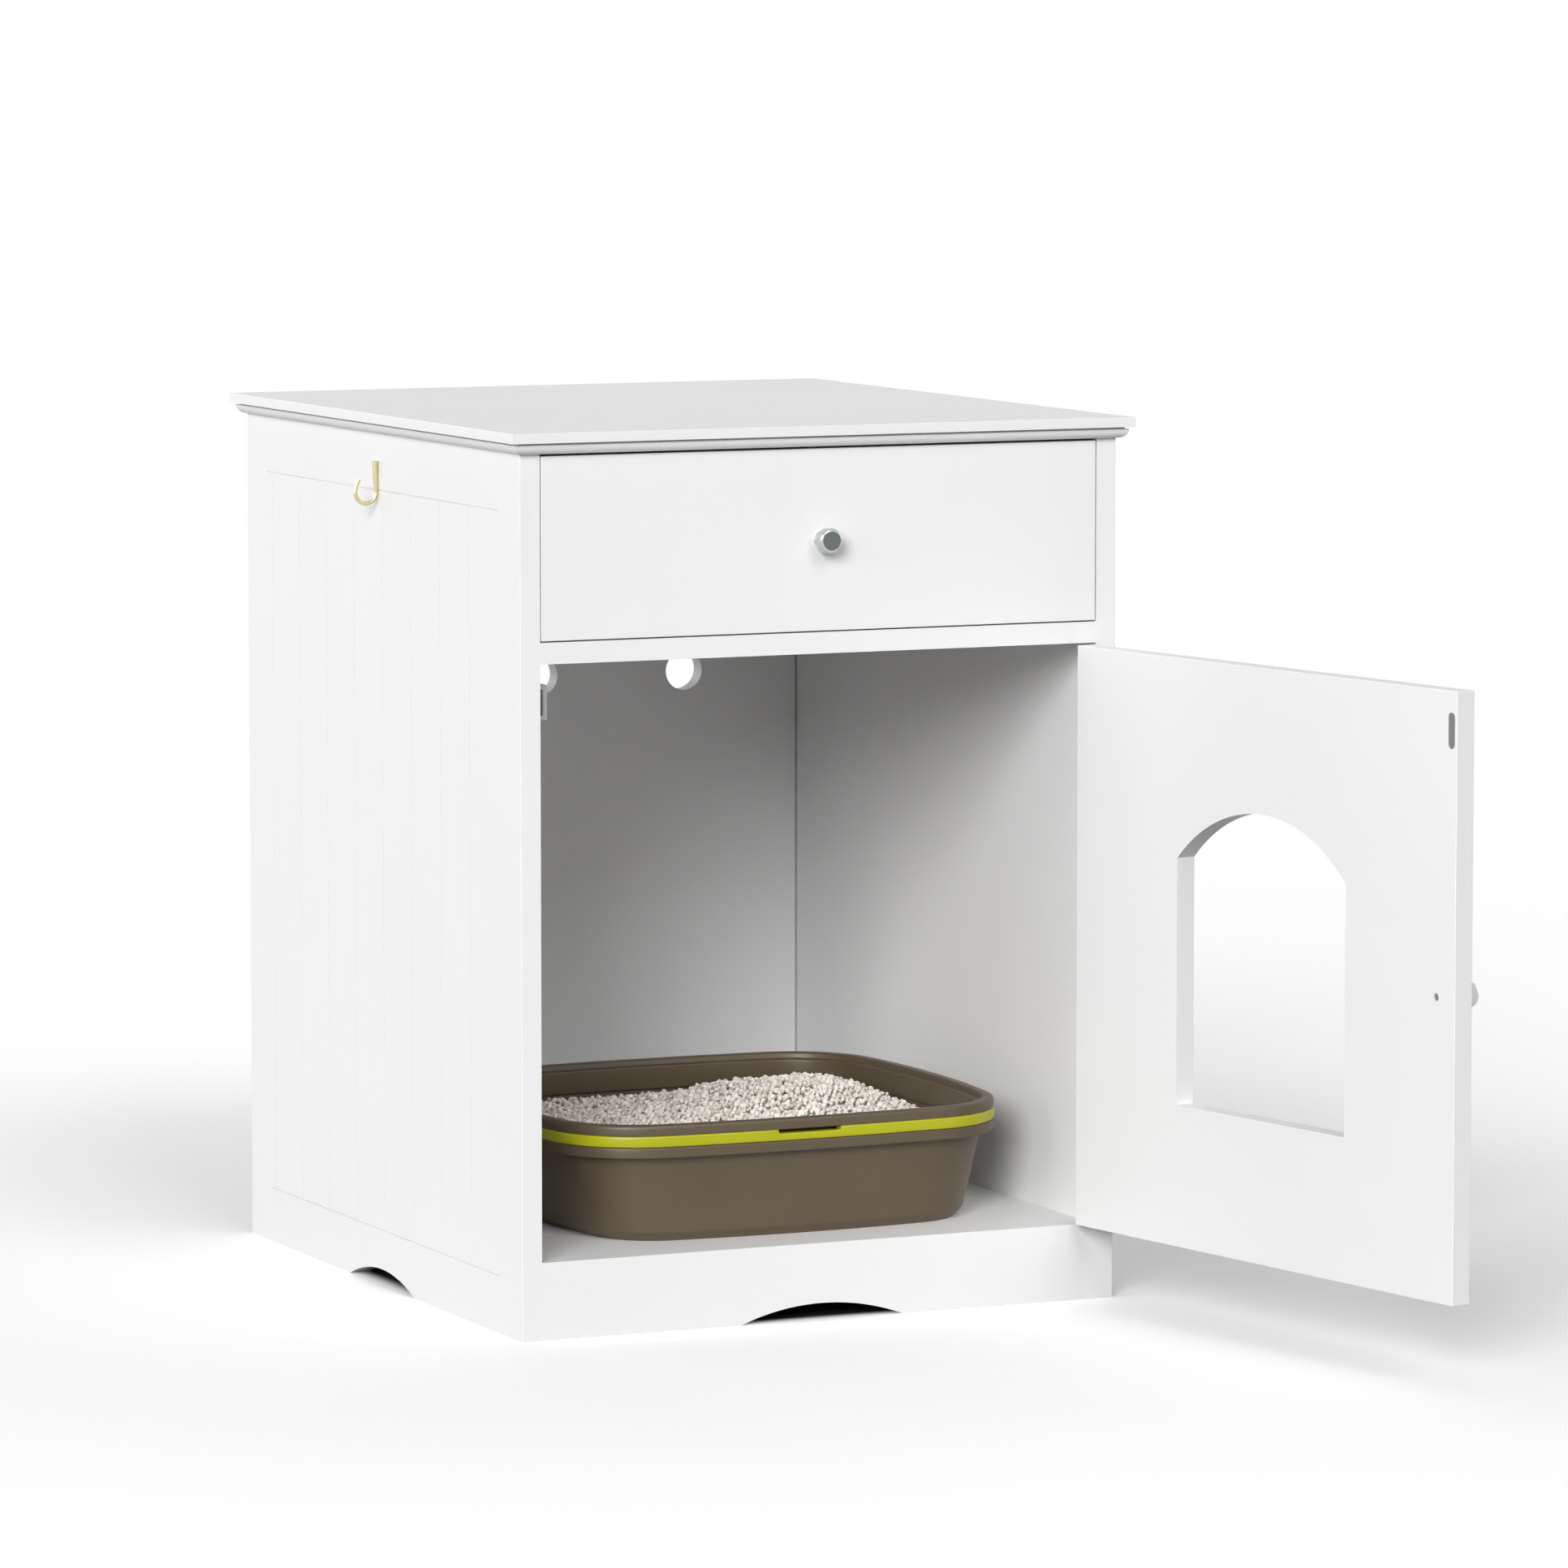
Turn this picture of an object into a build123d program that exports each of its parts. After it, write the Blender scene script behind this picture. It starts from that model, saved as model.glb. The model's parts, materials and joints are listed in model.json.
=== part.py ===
"""Litter box enclosure: a cabinet with a drawer, an arched cat doorway and a litter tray.

Lengths are in millimetres. The origin is on the floor, under the middle of the carcass.
+X is to the right, +Y runs from the front to the back and +Z is up. The door stands open.
"""

import os

from build123d import *

os.makedirs("parts", exist_ok=True)

# Carcass boards
body_width = 460.0
body_depth = 530.0
body_height = 620.0
board = 15.0
floor_height = 55.0
drawer_space = 131.0
reveal = 1.0
edge_round = 0.5
back_gap = 1.2
back_gap_depth = 5.0

# Top panel and its moulded edge
top_thickness = 15.0
top_overhang_side = 10.0
top_overhang_front = 12.0
top_overhang_back = 10.0
bead_inset = 3.5
bead_radius = 6.5
quirk_height = 1.5
quirk_depth = 2.5

# Foot arches under the sides and the apron
foot_arch_width = 126.5
foot_arch_rise = 12.0

# Saw grooves on the outer faces of the sides
groove_width = 0.8
groove_depth = 1.2
groove_end_margin = 41.0
groove_front_margin = 40.0
groove_back_margin = 42.0
groove_lead = 53.0
groove_pitch = 55.0

# Vent holes in the back
vent_diameter = 30.0
vent_spacing = 120.0
vent_drop = 59.0

# Door and its doorway
door_open_angle = 100.0
hinge_gap = 1.4
doorway_width_share = 0.4443
doorway_sill_share = 0.2422
doorway_side_share = 0.4197
doorway_rise_share = 0.205
door_knob_inset = 20.0

# Sheet metal and its countersunk screws
sheet = 1.2
sheet_screw_head = 5.6
sheet_screw_shank = 3.2
sheet_screw_length = 12.0

# Butt hinges
hinge_inset = 70.0
leaf_length = 50.0
leaf_width = 12.0
leaf_screw_inset = 9.0
knuckle_diameter = 5.2
knuckle_length = 15.0
knuckle_gap = 0.3
pin_diameter = 2.4
pin_clear = 0.4
pin_end_trim = 0.5

# Fits
fit = 0.1
running_fit = 0.05
roll_gap = 0.3
overrun = 5.0

# Knobs and their screws
knob_length = 16.0
knob_base_diameter = 13.3
knob_base_height = 2.0
knob_neck_diameter = 10.0
knob_neck_height = 4.0
knob_head_diameter = 17.6
knob_head_height = 7.0
knob_rim_round = 2.2
knob_screw_diameter = 3.0
knob_screw_reach = 7.0
knob_screw_head = 5.2
knob_screw_head_height = 2.0
knob_screw_sink = 1.0

# Magnetic catch and strike plate
catch_proud = 11.5
catch_height = 24.6
catch_depth = 18.0
catch_drop = 28.0
catch_gap = 0.6
magnet_width = 4.0
magnet_height = 18.0
magnet_depth = 8.0
pole_width = 1.2
catch_screw_diameter = 3.0
catch_screw_head = 5.6
catch_screw_head_height = 2.0
catch_screw_length = 21.0
catch_screw_spacing = 13.0
catch_screw_inset = 5.0
strike_width = 7.0
strike_height = 24.5
strike_thickness = 0.8
strike_recess = 1.2
strike_edge_inset = 5.9
strike_screw_diameter = 2.0
strike_screw_length = 8.0
strike_screw_spacing = 17.0

# Side hook
hook_height = 32.0
hook_drop = 20.0
hook_wire = 3.0
hook_stem_top = 4.7
hook_bend_radius = 8.0
hook_tail_rise = 9.5
hook_tail_lean = 2.8
hook_screw_diameter = 2.0
hook_screw_grip = 2.4
hook_screw_head = 4.4
hook_screw_head_height = 1.6
hook_screw_drop = 6.0

# Cam fittings and dowels
cam_diameter = 15.0
cam_floor = 3.0
cam_reach = 24.0
cam_slot_length = 9.0
cam_slot_width = 1.6
cam_slot_depth = 2.0
bolt_thread_diameter = 6.0
bolt_end_wall = 4.0
bolt_collar_gap = 0.3
bolt_collar_length = 5.0
bolt_neck_diameter = 5.0
bolt_head_gap = 0.5
bolt_head_length = 6.0
bolt_bore = 8.0
dowel_diameter = 8.0
dowel_end_wall = 6.0
dowel_in_end = 20.0
dowel_chamfer = 0.8
cam_margin = 100.0
dowel_margin = 45.0
back_cam_margin = 110.0
back_dowel_margin = 170.0
apron_cam_drop = 31.0
apron_dowel_drop = 9.0
apron_dowel_row = 110.0

# Drawer
drawer_top_gap = 1.7
drawer_side = 12.0
drawer_head_room = 24.0
drawer_back_gap = 60.0
drawer_bottom_thickness = 4.0
drawer_bottom_lift = 10.0
drawer_groove = 5.0
drawer_groove_gap = 0.3
drawer_dowel_diameter = 6.0
drawer_dowel_end_wall = 6.0
drawer_dowel_in_side = 14.0
drawer_joint_share = 0.57
drawer_dowel_share = 0.45
drawer_cam_floor = 2.4
drawer_screw_diameter = 4.0
drawer_screw_head = 7.0
drawer_screw_head_height = 2.5
drawer_screw_length = 38.0

# Roller runners
runner_space = 12.5
runner_lift = 2.0
runner_back_gap = 50.0
runner_front_gap = 2.0
channel_gap = 0.8
drawer_flange_gap = 1.0
flange_clear = 1.5
drawer_runner_drop = 4.7
roller_diameter = 18.0
roller_room = 3.6
roller_side_gap = 0.4
roller_inset = 14.0
roller_hole = 2.6
roller_hole_circle = 11.0
roller_hole_count = 4
axle_diameter = 5.0
axle_head_diameter = 7.0
axle_head = 0.6
runner_screw_front = 158.0
runner_screw_back = 50.0

# Litter tray
tray_shift = 5.0
tray_setback = 31.0
tray_side_gap = 36.0
tray_width = 330.0
tray_bow = 10.0
tray_end_bow = 16.0
tray_corner = 70.0
tray_wall = 2.5
pan_height = 62.0
pan_base_inset_x = 25.0
pan_base_inset_y = 12.0
pan_lip = 7.5
pan_foot_height = 6.0
pan_foot_inset = 5.0
pan_corner_trim = 8.0
flange_height = 7.7
band_height = 8.2
band_proud = 0.5
band_seat = 8.0
band_notch_width = 46.0
band_notch_depth = 2.6
rim_height = 7.7
rim_lip = 0.3
rim_round = 2.4
rim_skirt = 2.0
rim_skirt_gap = 0.7
rim_skirt_drop = 6.0
litter_gap = 0.3
litter_drop = 4.0
litter_heap = 8.0

# Places worked out from the sizes above
shelf_height = body_height - drawer_space
half_width = body_width / 2
front_y = -body_depth / 2
back_y = body_depth / 2
inner_x = half_width - board
inner_back_y = back_y - board
behind_front_y = front_y + board
shelf_under = shelf_height - board
floor_mid = floor_height - board / 2
shelf_mid = shelf_height - board / 2
back_mid = back_y - board / 2
apron_mid = front_y + board / 2
side_mid = half_width - board / 2
pin_proud = knuckle_diameter / 2 + pin_clear
cam_height = board - cam_floor
bolt_thread_length = board - bolt_end_wall
bolt_collar_diameter = bolt_bore - 2 * bolt_collar_gap
bolt_head_diameter = bolt_bore - 2 * bolt_head_gap
dowel_in_face = board - dowel_end_wall
cam_rows = (behind_front_y + cam_margin, inner_back_y - cam_margin)
dowel_rows = (behind_front_y + dowel_margin, inner_back_y - dowel_margin)

left, right = Vector(-1, 0, 0), Vector(1, 0, 0)
forward, backward = Vector(0, -1, 0), Vector(0, 1, 0)
down, up = Vector(0, 0, -1), Vector(0, 0, 1)
hands = (("left", -1), ("right", 1))
sunk = (Align.CENTER, Align.CENTER, Align.MAX)
proud = (Align.CENTER, Align.CENTER, Align.MIN)
standing = (Align.CENTER, Align.MIN)


def facing(points, out):
    """Places at the points, each with its own Z axis along out."""
    return [Plane(origin=point, z_dir=out).location for point in points]


def drill(points, out, diameter, depth):
    """Round holes sunk into a face that looks along out."""
    with Locations(*facing(points, out)):
        Cylinder(diameter / 2, depth, align=sunk, mode=Mode.SUBTRACT)


def rod(points, out, diameter, length):
    """Round bars that stand on the points and run along out."""
    with Locations(*facing(points, out)):
        Cylinder(diameter / 2, length, align=proud)


def bar(low, high, mode=Mode.ADD):
    """A square-cornered block between two opposite corners."""
    size = Vector(*high) - Vector(*low)
    with Locations((Vector(*low) + Vector(*high)) / 2):
        Box(size.X, size.Y, size.Z, mode=mode)


def segment_radius(chord, rise):
    """Radius of the arc that spans a chord with a given rise."""
    return (chord**2 / 4 + rise**2) / (2 * rise)


def cut_foot_arch(plane, thickness):
    """The low arch that leaves feet at the two ends of a board."""
    radius = segment_radius(foot_arch_width, foot_arch_rise)
    with BuildSketch(plane) as arch:
        with Locations((0, foot_arch_rise - radius)):
            Circle(radius)
    extrude(arch.sketch, amount=thickness, both=True, mode=Mode.SUBTRACT)


def sheet_screws(points, out):
    """Countersunk screws, flush with a sheet whose face looks along out."""
    with Locations(*facing(points, out)):
        Cone(sheet_screw_shank / 2, sheet_screw_head / 2, sheet, align=sunk)
        Cylinder(sheet_screw_shank / 2, sheet_screw_length, align=sunk)


def sheet_screw_holes(points, out):
    """The countersunk holes for the same screws, through sheet and board."""
    with Locations(*facing(points, out)):
        Cone(
            sheet_screw_shank / 2 + fit,
            sheet_screw_head / 2 + fit,
            sheet,
            align=sunk,
            mode=Mode.SUBTRACT,
        )
        Cylinder(sheet_screw_shank / 2 + fit, sheet_screw_length + fit, align=sunk, mode=Mode.SUBTRACT)


# Cam joints: where the bolt leaves its face, the way it runs, and the way the cam's pocket opens
floor_cams, shelf_cams, back_cams, apron_cams, top_cams = [], [], [], [], []
floor_dowels, shelf_dowels, back_dowels, apron_dowels, top_dowels = [], [], [], [], []
back_cam_heights = (back_cam_margin, body_height - back_cam_margin)
back_dowel_heights = (back_dowel_margin, body_height - back_dowel_margin)
for side, sign in hands:
    inward = -sign * right
    for row in cam_rows:
        floor_cams.append((Vector(sign * inner_x, row, floor_mid), inward, down))
        shelf_cams.append((Vector(sign * inner_x, row, shelf_mid), inward, down))
        top_cams.append((Vector(sign * side_mid, row, body_height), down, inward))
    for row in dowel_rows:
        floor_dowels.append((Vector(sign * inner_x, row, floor_mid), inward))
        shelf_dowels.append((Vector(sign * inner_x, row, shelf_mid), inward))
        top_dowels.append((Vector(sign * side_mid, row, body_height), down))
    for height in back_cam_heights:
        back_cams.append((Vector(sign * inner_x, back_mid, height), inward, backward))
    for height in back_dowel_heights:
        back_dowels.append((Vector(sign * inner_x, back_mid, height), inward))
    apron_cams.append((Vector(sign * inner_x, apron_mid, floor_height - apron_cam_drop), inward, backward))
    apron_dowels.append((Vector(sign * inner_x, apron_mid, floor_height - apron_dowel_drop), inward))
floor_edge_dowels = [
    (Vector(place, behind_front_y, floor_mid), backward)
    for place in (-apron_dowel_row, 0, apron_dowel_row)
]
end_cams = floor_cams + shelf_cams + back_cams + apron_cams
end_dowels = floor_dowels + shelf_dowels + back_dowels + apron_dowels


def on_hand(joints, sign):
    """The joints on one side of the cabinet."""
    return [joint for joint in joints if joint[0].X * sign > 0]


def cut_cam_seats(joints, thickness, height):
    """Bolt bores and cam pockets in the board that the cams sit in."""
    for root, along, opens in joints:
        mouth = root + along * cam_reach + opens * thickness / 2
        drill([mouth], opens, cam_diameter + 2 * fit, height + fit)
        drill([root], -along, bolt_bore, cam_reach)


def cut_bolt_threads(joints):
    """Holes for the threaded ends of the cam bolts, in the facing board."""
    for root, along, opens in joints:
        drill([root], along, bolt_thread_diameter + 2 * fit, bolt_thread_length + fit)


def cut_dowels_in_faces(joints):
    """Dowel holes in the face that a board butts against."""
    for root, along in joints:
        drill([root], along, dowel_diameter + 2 * fit, dowel_in_face + fit)


def cut_dowels_in_ends(joints):
    """Dowel holes in the end of the board that butts."""
    for root, along in joints:
        drill([root], -along, dowel_diameter + 2 * fit, dowel_in_end + fit)


def add_cam_bolts(joints):
    """Bolts with a screwed end, a collar, a neck and a head that the cam pulls on."""
    for root, along, opens in joints:
        head_start = cam_reach - bolt_head_length / 2
        rod([root], -along, bolt_thread_diameter, bolt_thread_length)
        rod([root], along, bolt_collar_diameter, bolt_collar_length)
        rod([root], along, bolt_neck_diameter, head_start)
        rod([root + along * head_start], along, bolt_head_diameter, bolt_head_length)


def add_cam_locks(joints, thickness, height):
    """Round cams with a throat for the bolt's head and a driver slot."""
    for root, along, opens in joints:
        centre = root + along * cam_reach
        mouth = centre + opens * thickness / 2
        throat_end = centre + along * bolt_head_length
        rod([mouth], -opens, cam_diameter, height)
        drill([throat_end], along, bolt_head_diameter + 2 * fit, cam_diameter)
        with Locations(*facing([mouth], opens)):
            Box(cam_slot_length, cam_slot_width, cam_slot_depth, align=sunk, mode=Mode.SUBTRACT)


def add_dowels(joints, diameter, in_face, in_end):
    """Chamfered beech dowels across a butt joint."""
    for root, along in joints:
        rod([root - along * in_face], along, diameter, in_face + in_end)


# Hinge places: both frames stand on the pin's axis, the door's is turned open
pin_x = inner_x - hinge_gap / 2
pin_y = front_y - pin_proud
pin_frame = Plane((pin_x, pin_y, 0))
door_frame = pin_frame.rotated((0, 0, door_open_angle))
door_face = Plane(origin=pin_frame.origin, x_dir=door_frame.x_dir, z_dir=-door_frame.y_dir)
door_width = 2 * inner_x - hinge_gap - reveal
door_low = floor_height + reveal
door_high = shelf_under - reveal
door_mid = (door_low + door_high) / 2
door_hinge_edge = -hinge_gap / 2
door_free_edge = door_hinge_edge - door_width
hinge_lows = (door_low + hinge_inset - leaf_length / 2, door_high - hinge_inset - leaf_length / 2)
leaf_middle_y = pin_proud + leaf_width / 2
leaf_x = (hinge_gap + sheet) / 2
middle_knuckle = leaf_length - 2 * (knuckle_length + knuckle_gap)
cabinet_knuckles = ((0, knuckle_length), (leaf_length - knuckle_length, knuckle_length))
door_knuckles = ((knuckle_length + knuckle_gap, middle_knuckle),)


def door_point(across, out, height):
    """A point on the door, from the pin's axis, in the closed door's directions."""
    return door_frame.from_local_coords(Vector(across, -out, height))


door_out = -door_frame.y_dir
door_edge_out = door_frame.x_dir
cabinet_leaf_screws = [
    Vector(inner_x, front_y + leaf_width / 2, low + inset)
    for low in hinge_lows
    for inset in (leaf_screw_inset, leaf_length - leaf_screw_inset)
]
door_leaf_screws = [
    door_point(door_hinge_edge, -leaf_middle_y, low + inset)
    for low in hinge_lows
    for inset in (leaf_screw_inset, leaf_length - leaf_screw_inset)
]


def hinge_leaf(frame, toward, low, knuckles):
    """One hinge leaf: a plate let into its board, and knuckles round the pin."""
    with BuildSketch(frame.offset(low)) as plate:
        with Locations((toward * leaf_x, leaf_middle_y)):
            Rectangle(sheet, leaf_width)
    extrude(plate.sketch, amount=leaf_length)
    for start, length in knuckles:
        with BuildSketch(frame.offset(low + start)) as knuckle:
            Circle(knuckle_diameter / 2)
            with Locations((toward * leaf_x, pin_proud / 2)):
                Rectangle(sheet, pin_proud)
            Circle(pin_diameter / 2 + running_fit, mode=Mode.SUBTRACT)
        extrude(knuckle.sketch, amount=length)


def cut_leaf_seats(frame, toward):
    """Shallow seats in a board's edge that let the leaves lie flush."""
    for low in hinge_lows:
        with BuildSketch(frame.offset(low - fit)) as seat:
            with Locations((toward * (leaf_x - fit), leaf_middle_y)):
                Rectangle(sheet + 2 * fit, leaf_width + 2 * fit)
        extrude(seat.sketch, amount=leaf_length + 2 * fit, mode=Mode.SUBTRACT)


# Catch, hook and runner places
catch_z = shelf_under - catch_drop
catch_front_y = behind_front_y + catch_gap
catch_face_x = -inner_x + catch_proud
catch_screw_y = catch_front_y + catch_depth - catch_screw_inset
catch_screw_points = [
    Vector(catch_face_x, catch_screw_y, catch_z + shift)
    for shift in (-catch_screw_spacing / 2, catch_screw_spacing / 2)
]
hook_top = body_height - hook_drop
hook_bottom = hook_top - hook_height
hook_screw_z = hook_top - hook_screw_drop
hook_screw_point = Vector(-inner_x, 0, hook_screw_z)

roller_z = shelf_height + runner_lift + sheet + roll_gap + roller_diameter / 2
drawer_flange_low = roller_z + roller_diameter / 2 + roll_gap
channel_low = shelf_height + runner_lift
channel_high = drawer_flange_low + sheet + flange_clear + sheet
channel_front_y = behind_front_y + runner_front_gap
channel_back_y = inner_back_y - runner_back_gap
channel_width = runner_space - sheet - channel_gap
runner_screw_ys = (channel_front_y + runner_screw_front, channel_back_y - runner_screw_back)
drawer_x = inner_x - runner_space
drawer_low = roller_z - drawer_runner_drop + sheet
drawer_back_y = inner_back_y - drawer_back_gap
drawer_top = body_height - drawer_head_room
drawer_screw_z = (drawer_low + drawer_flange_low) / 2
roller_width = runner_space - 2 * sheet - roller_room
front_roller_y = channel_front_y + roller_inset
rear_roller_y = drawer_back_y - roller_inset


def cabinet_runner_screw_points(sign):
    """Screw places on the inner face of a cabinet runner's web."""
    return [Vector(sign * (inner_x - sheet), row, roller_z) for row in runner_screw_ys]


def drawer_runner_screw_points(sign):
    """Screw places on the outer face of a drawer runner's web."""
    return [Vector(sign * (drawer_x + sheet), row, drawer_screw_z) for row in runner_screw_ys]


# Left and right side panels
groove_low = groove_end_margin
groove_high = body_height - groove_end_margin
groove_front_y = front_y + groove_front_margin
groove_back_y = back_y - groove_back_margin
groove_run = groove_back_y - groove_front_y
groove_count = int((groove_run - groove_lead) / groove_pitch) + 1
groove_ys = [groove_front_y + groove_lead + groove_pitch * index for index in range(groove_count)]

for side, sign in hands:
    inward = -sign * right
    with BuildPart() as side_panel:
        with BuildSketch(Plane.YZ.offset(sign * inner_x)):
            Rectangle(body_depth, body_height, align=standing)
        extrude(amount=sign * board)
        outer_edges = side_panel.edges().filter_by(Axis.Z).group_by(Axis.X)[0 if sign < 0 else -1]
        fillet(outer_edges, edge_round)
        cut_foot_arch(Plane.YZ.offset(sign * side_mid), board)
        with BuildSketch(Plane.XY.offset(groove_low)):
            with Locations(*[(sign * half_width, place) for place in groove_ys]):
                Rectangle(2 * groove_depth, groove_width)
        extrude(amount=groove_high - groove_low, mode=Mode.SUBTRACT)
        with BuildSketch(Plane.XZ.offset(-groove_front_y)):
            with Locations((sign * half_width, groove_low), (sign * half_width, groove_high)):
                Rectangle(2 * groove_depth, groove_width)
        extrude(amount=-groove_run, mode=Mode.SUBTRACT)
        cut_bolt_threads(on_hand(end_cams, sign))
        cut_dowels_in_faces(on_hand(end_dowels, sign))
        cut_cam_seats(on_hand(top_cams, sign), board, cam_height)
        cut_dowels_in_ends(on_hand(top_dowels, sign))
        sheet_screw_holes(cabinet_runner_screw_points(sign), inward)
        if side == "left":
            catch_hole = catch_screw_diameter + 2 * fit
            drill(catch_screw_points, right, catch_hole, catch_screw_length + fit)
            drill([hook_screw_point], right, hook_screw_diameter + 2 * fit, board)
        else:
            cut_leaf_seats(pin_frame, 1)
            sheet_screw_holes(cabinet_leaf_screws, left)
    side_panel.part.label = f"{side}_side_panel"
    export_step(side_panel.part, f"parts/{side}_side_panel.step")

# Top panel: a board whose under edge is run to a quirk and a round bead on all four sides
top_left = -half_width - top_overhang_side
top_right = half_width + top_overhang_side
top_front = front_y - top_overhang_front
top_back = back_y + top_overhang_back


def cut_moulding(plane, outward, length):
    """Run the quirk and bead along one edge; the plane stands on the edge's lower corner."""
    bead_x = -outward * bead_inset
    quirk_x = -outward * (bead_inset + quirk_depth)
    foot_x = -outward * (bead_inset + bead_radius)
    quirk_top = bead_radius + quirk_height
    with BuildSketch(plane) as moulding:
        with BuildLine():
            RadiusArc((bead_x, bead_radius), (foot_x, 0), outward * bead_radius)
            Polyline(
                (foot_x, 0),
                (foot_x, -overrun),
                (outward * overrun, -overrun),
                (outward * overrun, quirk_top),
                (quirk_x, quirk_top),
                (quirk_x, bead_radius),
                (bead_x, bead_radius),
            )
        make_face()
    extrude(moulding.sketch, amount=length, both=True, mode=Mode.SUBTRACT)


with BuildPart() as top_panel:
    bar((top_left, top_front, body_height), (top_right, top_back, body_height + top_thickness))
    fillet(top_panel.edges().group_by(Axis.Z)[-1], edge_round)
    for edge_x, outward in ((top_left, -1), (top_right, 1)):
        cut_moulding(Plane((edge_x, 0, body_height), x_dir=right, z_dir=forward), outward, body_depth)
    for edge_y, outward in ((top_front, -1), (top_back, 1)):
        cut_moulding(Plane((0, edge_y, body_height), x_dir=backward, z_dir=right), outward, body_depth)
    cut_bolt_threads(top_cams)
    cut_dowels_in_faces(top_dowels)
top_panel.part.label = "top_panel"
export_step(top_panel.part, "parts/top_panel.step")

# Back panel with its row of vents
vent_z = shelf_under - vent_drop
with BuildPart() as back_panel:
    bar((-inner_x, inner_back_y, 0), (inner_x, back_y, body_height))
    for sign in (-1, 1):
        with Locations((sign * inner_x, inner_back_y, body_height / 2)):
            Box(2 * back_gap, 2 * back_gap_depth, body_height, mode=Mode.SUBTRACT)
    vent_points = [Vector(place, back_y, vent_z) for place in (-vent_spacing, 0, vent_spacing)]
    drill(vent_points, backward, vent_diameter, board)
    cut_cam_seats(back_cams, board, cam_height)
    cut_dowels_in_ends(back_dowels)
back_panel.part.label = "back_panel"
export_step(back_panel.part, "parts/back_panel.step")

# Floor panel that the tray stands on
with BuildPart() as floor_panel:
    bar((-inner_x, behind_front_y, floor_height - board), (inner_x, inner_back_y, floor_height))
    cut_cam_seats(floor_cams, board, cam_height)
    cut_dowels_in_ends(floor_dowels)
    cut_dowels_in_ends(floor_edge_dowels)
floor_panel.part.label = "floor_panel"
export_step(floor_panel.part, "parts/floor_panel.step")

# Front apron under the door
with BuildPart() as front_apron:
    bar((-inner_x, front_y, 0), (inner_x, behind_front_y, floor_height))
    cut_foot_arch(Plane.XZ.offset(-apron_mid), board)
    cut_cam_seats(apron_cams, board, cam_height)
    cut_dowels_in_ends(apron_dowels)
    cut_dowels_in_faces(floor_edge_dowels)
front_apron.part.label = "front_apron"
export_step(front_apron.part, "parts/front_apron.step")

# Shelf between the drawer and the tray space
with BuildPart() as drawer_shelf:
    bar((-inner_x, front_y, shelf_under), (inner_x, inner_back_y, shelf_height))
    cut_cam_seats(shelf_cams, board, cam_height)
    cut_dowels_in_ends(shelf_dowels)
drawer_shelf.part.label = "drawer_shelf"
export_step(drawer_shelf.part, "parts/drawer_shelf.step")

# Joinery of the carcass
with BuildPart() as cam_bolts:
    add_cam_bolts(end_cams + top_cams)
cam_bolts.part.label = "cam_bolts"
export_step(cam_bolts.part, "parts/cam_bolts.step")

with BuildPart() as cam_locks:
    add_cam_locks(end_cams + top_cams, board, cam_height)
cam_locks.part.label = "cam_locks"
export_step(cam_locks.part, "parts/cam_locks.step")

with BuildPart() as wood_dowels:
    add_dowels(end_dowels + floor_edge_dowels + top_dowels, dowel_diameter, dowel_in_face, dowel_in_end)
    chamfer(wood_dowels.edges().filter_by(GeomType.CIRCLE), dowel_chamfer)
wood_dowels.part.label = "wood_dowels"
export_step(wood_dowels.part, "parts/wood_dowels.step")

# Brass J hook on the left side: a stem that tapers, a half-round bend and a tail that leans in
hook_bend_z = hook_bottom + hook_wire / 2 + hook_bend_radius
hook_bend_x = -half_width - hook_wire / 2
hook_tail_x = hook_bend_x - 2 * hook_bend_radius
with BuildPart() as side_hook:
    with BuildSketch(Plane.XY.offset(hook_bend_z)):
        with Locations((hook_bend_x, 0)):
            Circle(hook_wire / 2)
    with BuildSketch(Plane.XY.offset(hook_top)):
        with Locations((-half_width - hook_stem_top / 2, 0)):
            Circle(hook_stem_top / 2)
    loft()
    with BuildLine(Plane.XZ) as hook_path:
        bend = CenterArc((hook_bend_x - hook_bend_radius, hook_bend_z), hook_bend_radius, 0, -180)
        tail_end = (hook_tail_x + hook_tail_lean, hook_bend_z + hook_tail_rise)
        TangentArc(bend @ 1, tail_end, tangent=bend % 1)
    with BuildSketch(Plane.XY.offset(hook_bend_z)):
        with Locations((hook_bend_x, 0)):
            Circle(hook_wire / 2)
    sweep(path=hook_path.line)
    drill([Vector(-half_width, 0, hook_screw_z)], right, hook_screw_diameter + 2 * fit, hook_screw_grip + fit)
side_hook.part.label = "side_hook"
export_step(side_hook.part, "parts/side_hook.step")

with BuildPart() as hook_screw:
    rod([hook_screw_point], right, hook_screw_head, hook_screw_head_height)
    rod([hook_screw_point], left, hook_screw_diameter, board + hook_screw_grip)
hook_screw.part.label = "hook_screw"
export_step(hook_screw.part, "parts/hook_screw.step")

# Magnetic catch behind the door's free edge
magnet_x = -inner_x + catch_proud / 2
magnet_stack = magnet_width + 2 * pole_width
magnet_back_y = catch_front_y + magnet_depth
catch_top = catch_z + catch_height / 2
catch_low = catch_z - catch_height / 2
magnet_low = catch_z - magnet_height / 2
magnet_top = catch_z + magnet_height / 2
with BuildPart() as catch_body:
    bar((-inner_x, catch_front_y, catch_low), (catch_face_x, catch_front_y + catch_depth, catch_top))
    fillet(catch_body.edges().group_by(Axis.X)[-1], edge_round)
    bar(
        (magnet_x - magnet_stack / 2 - fit, catch_front_y - overrun, magnet_low - fit),
        (magnet_x + magnet_stack / 2 + fit, magnet_back_y + fit, magnet_top + fit),
        mode=Mode.SUBTRACT,
    )
    drill(catch_screw_points, right, catch_screw_diameter + 2 * fit, catch_proud)
    drill(catch_screw_points, right, catch_screw_head + 2 * fit, catch_screw_head_height)
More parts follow.
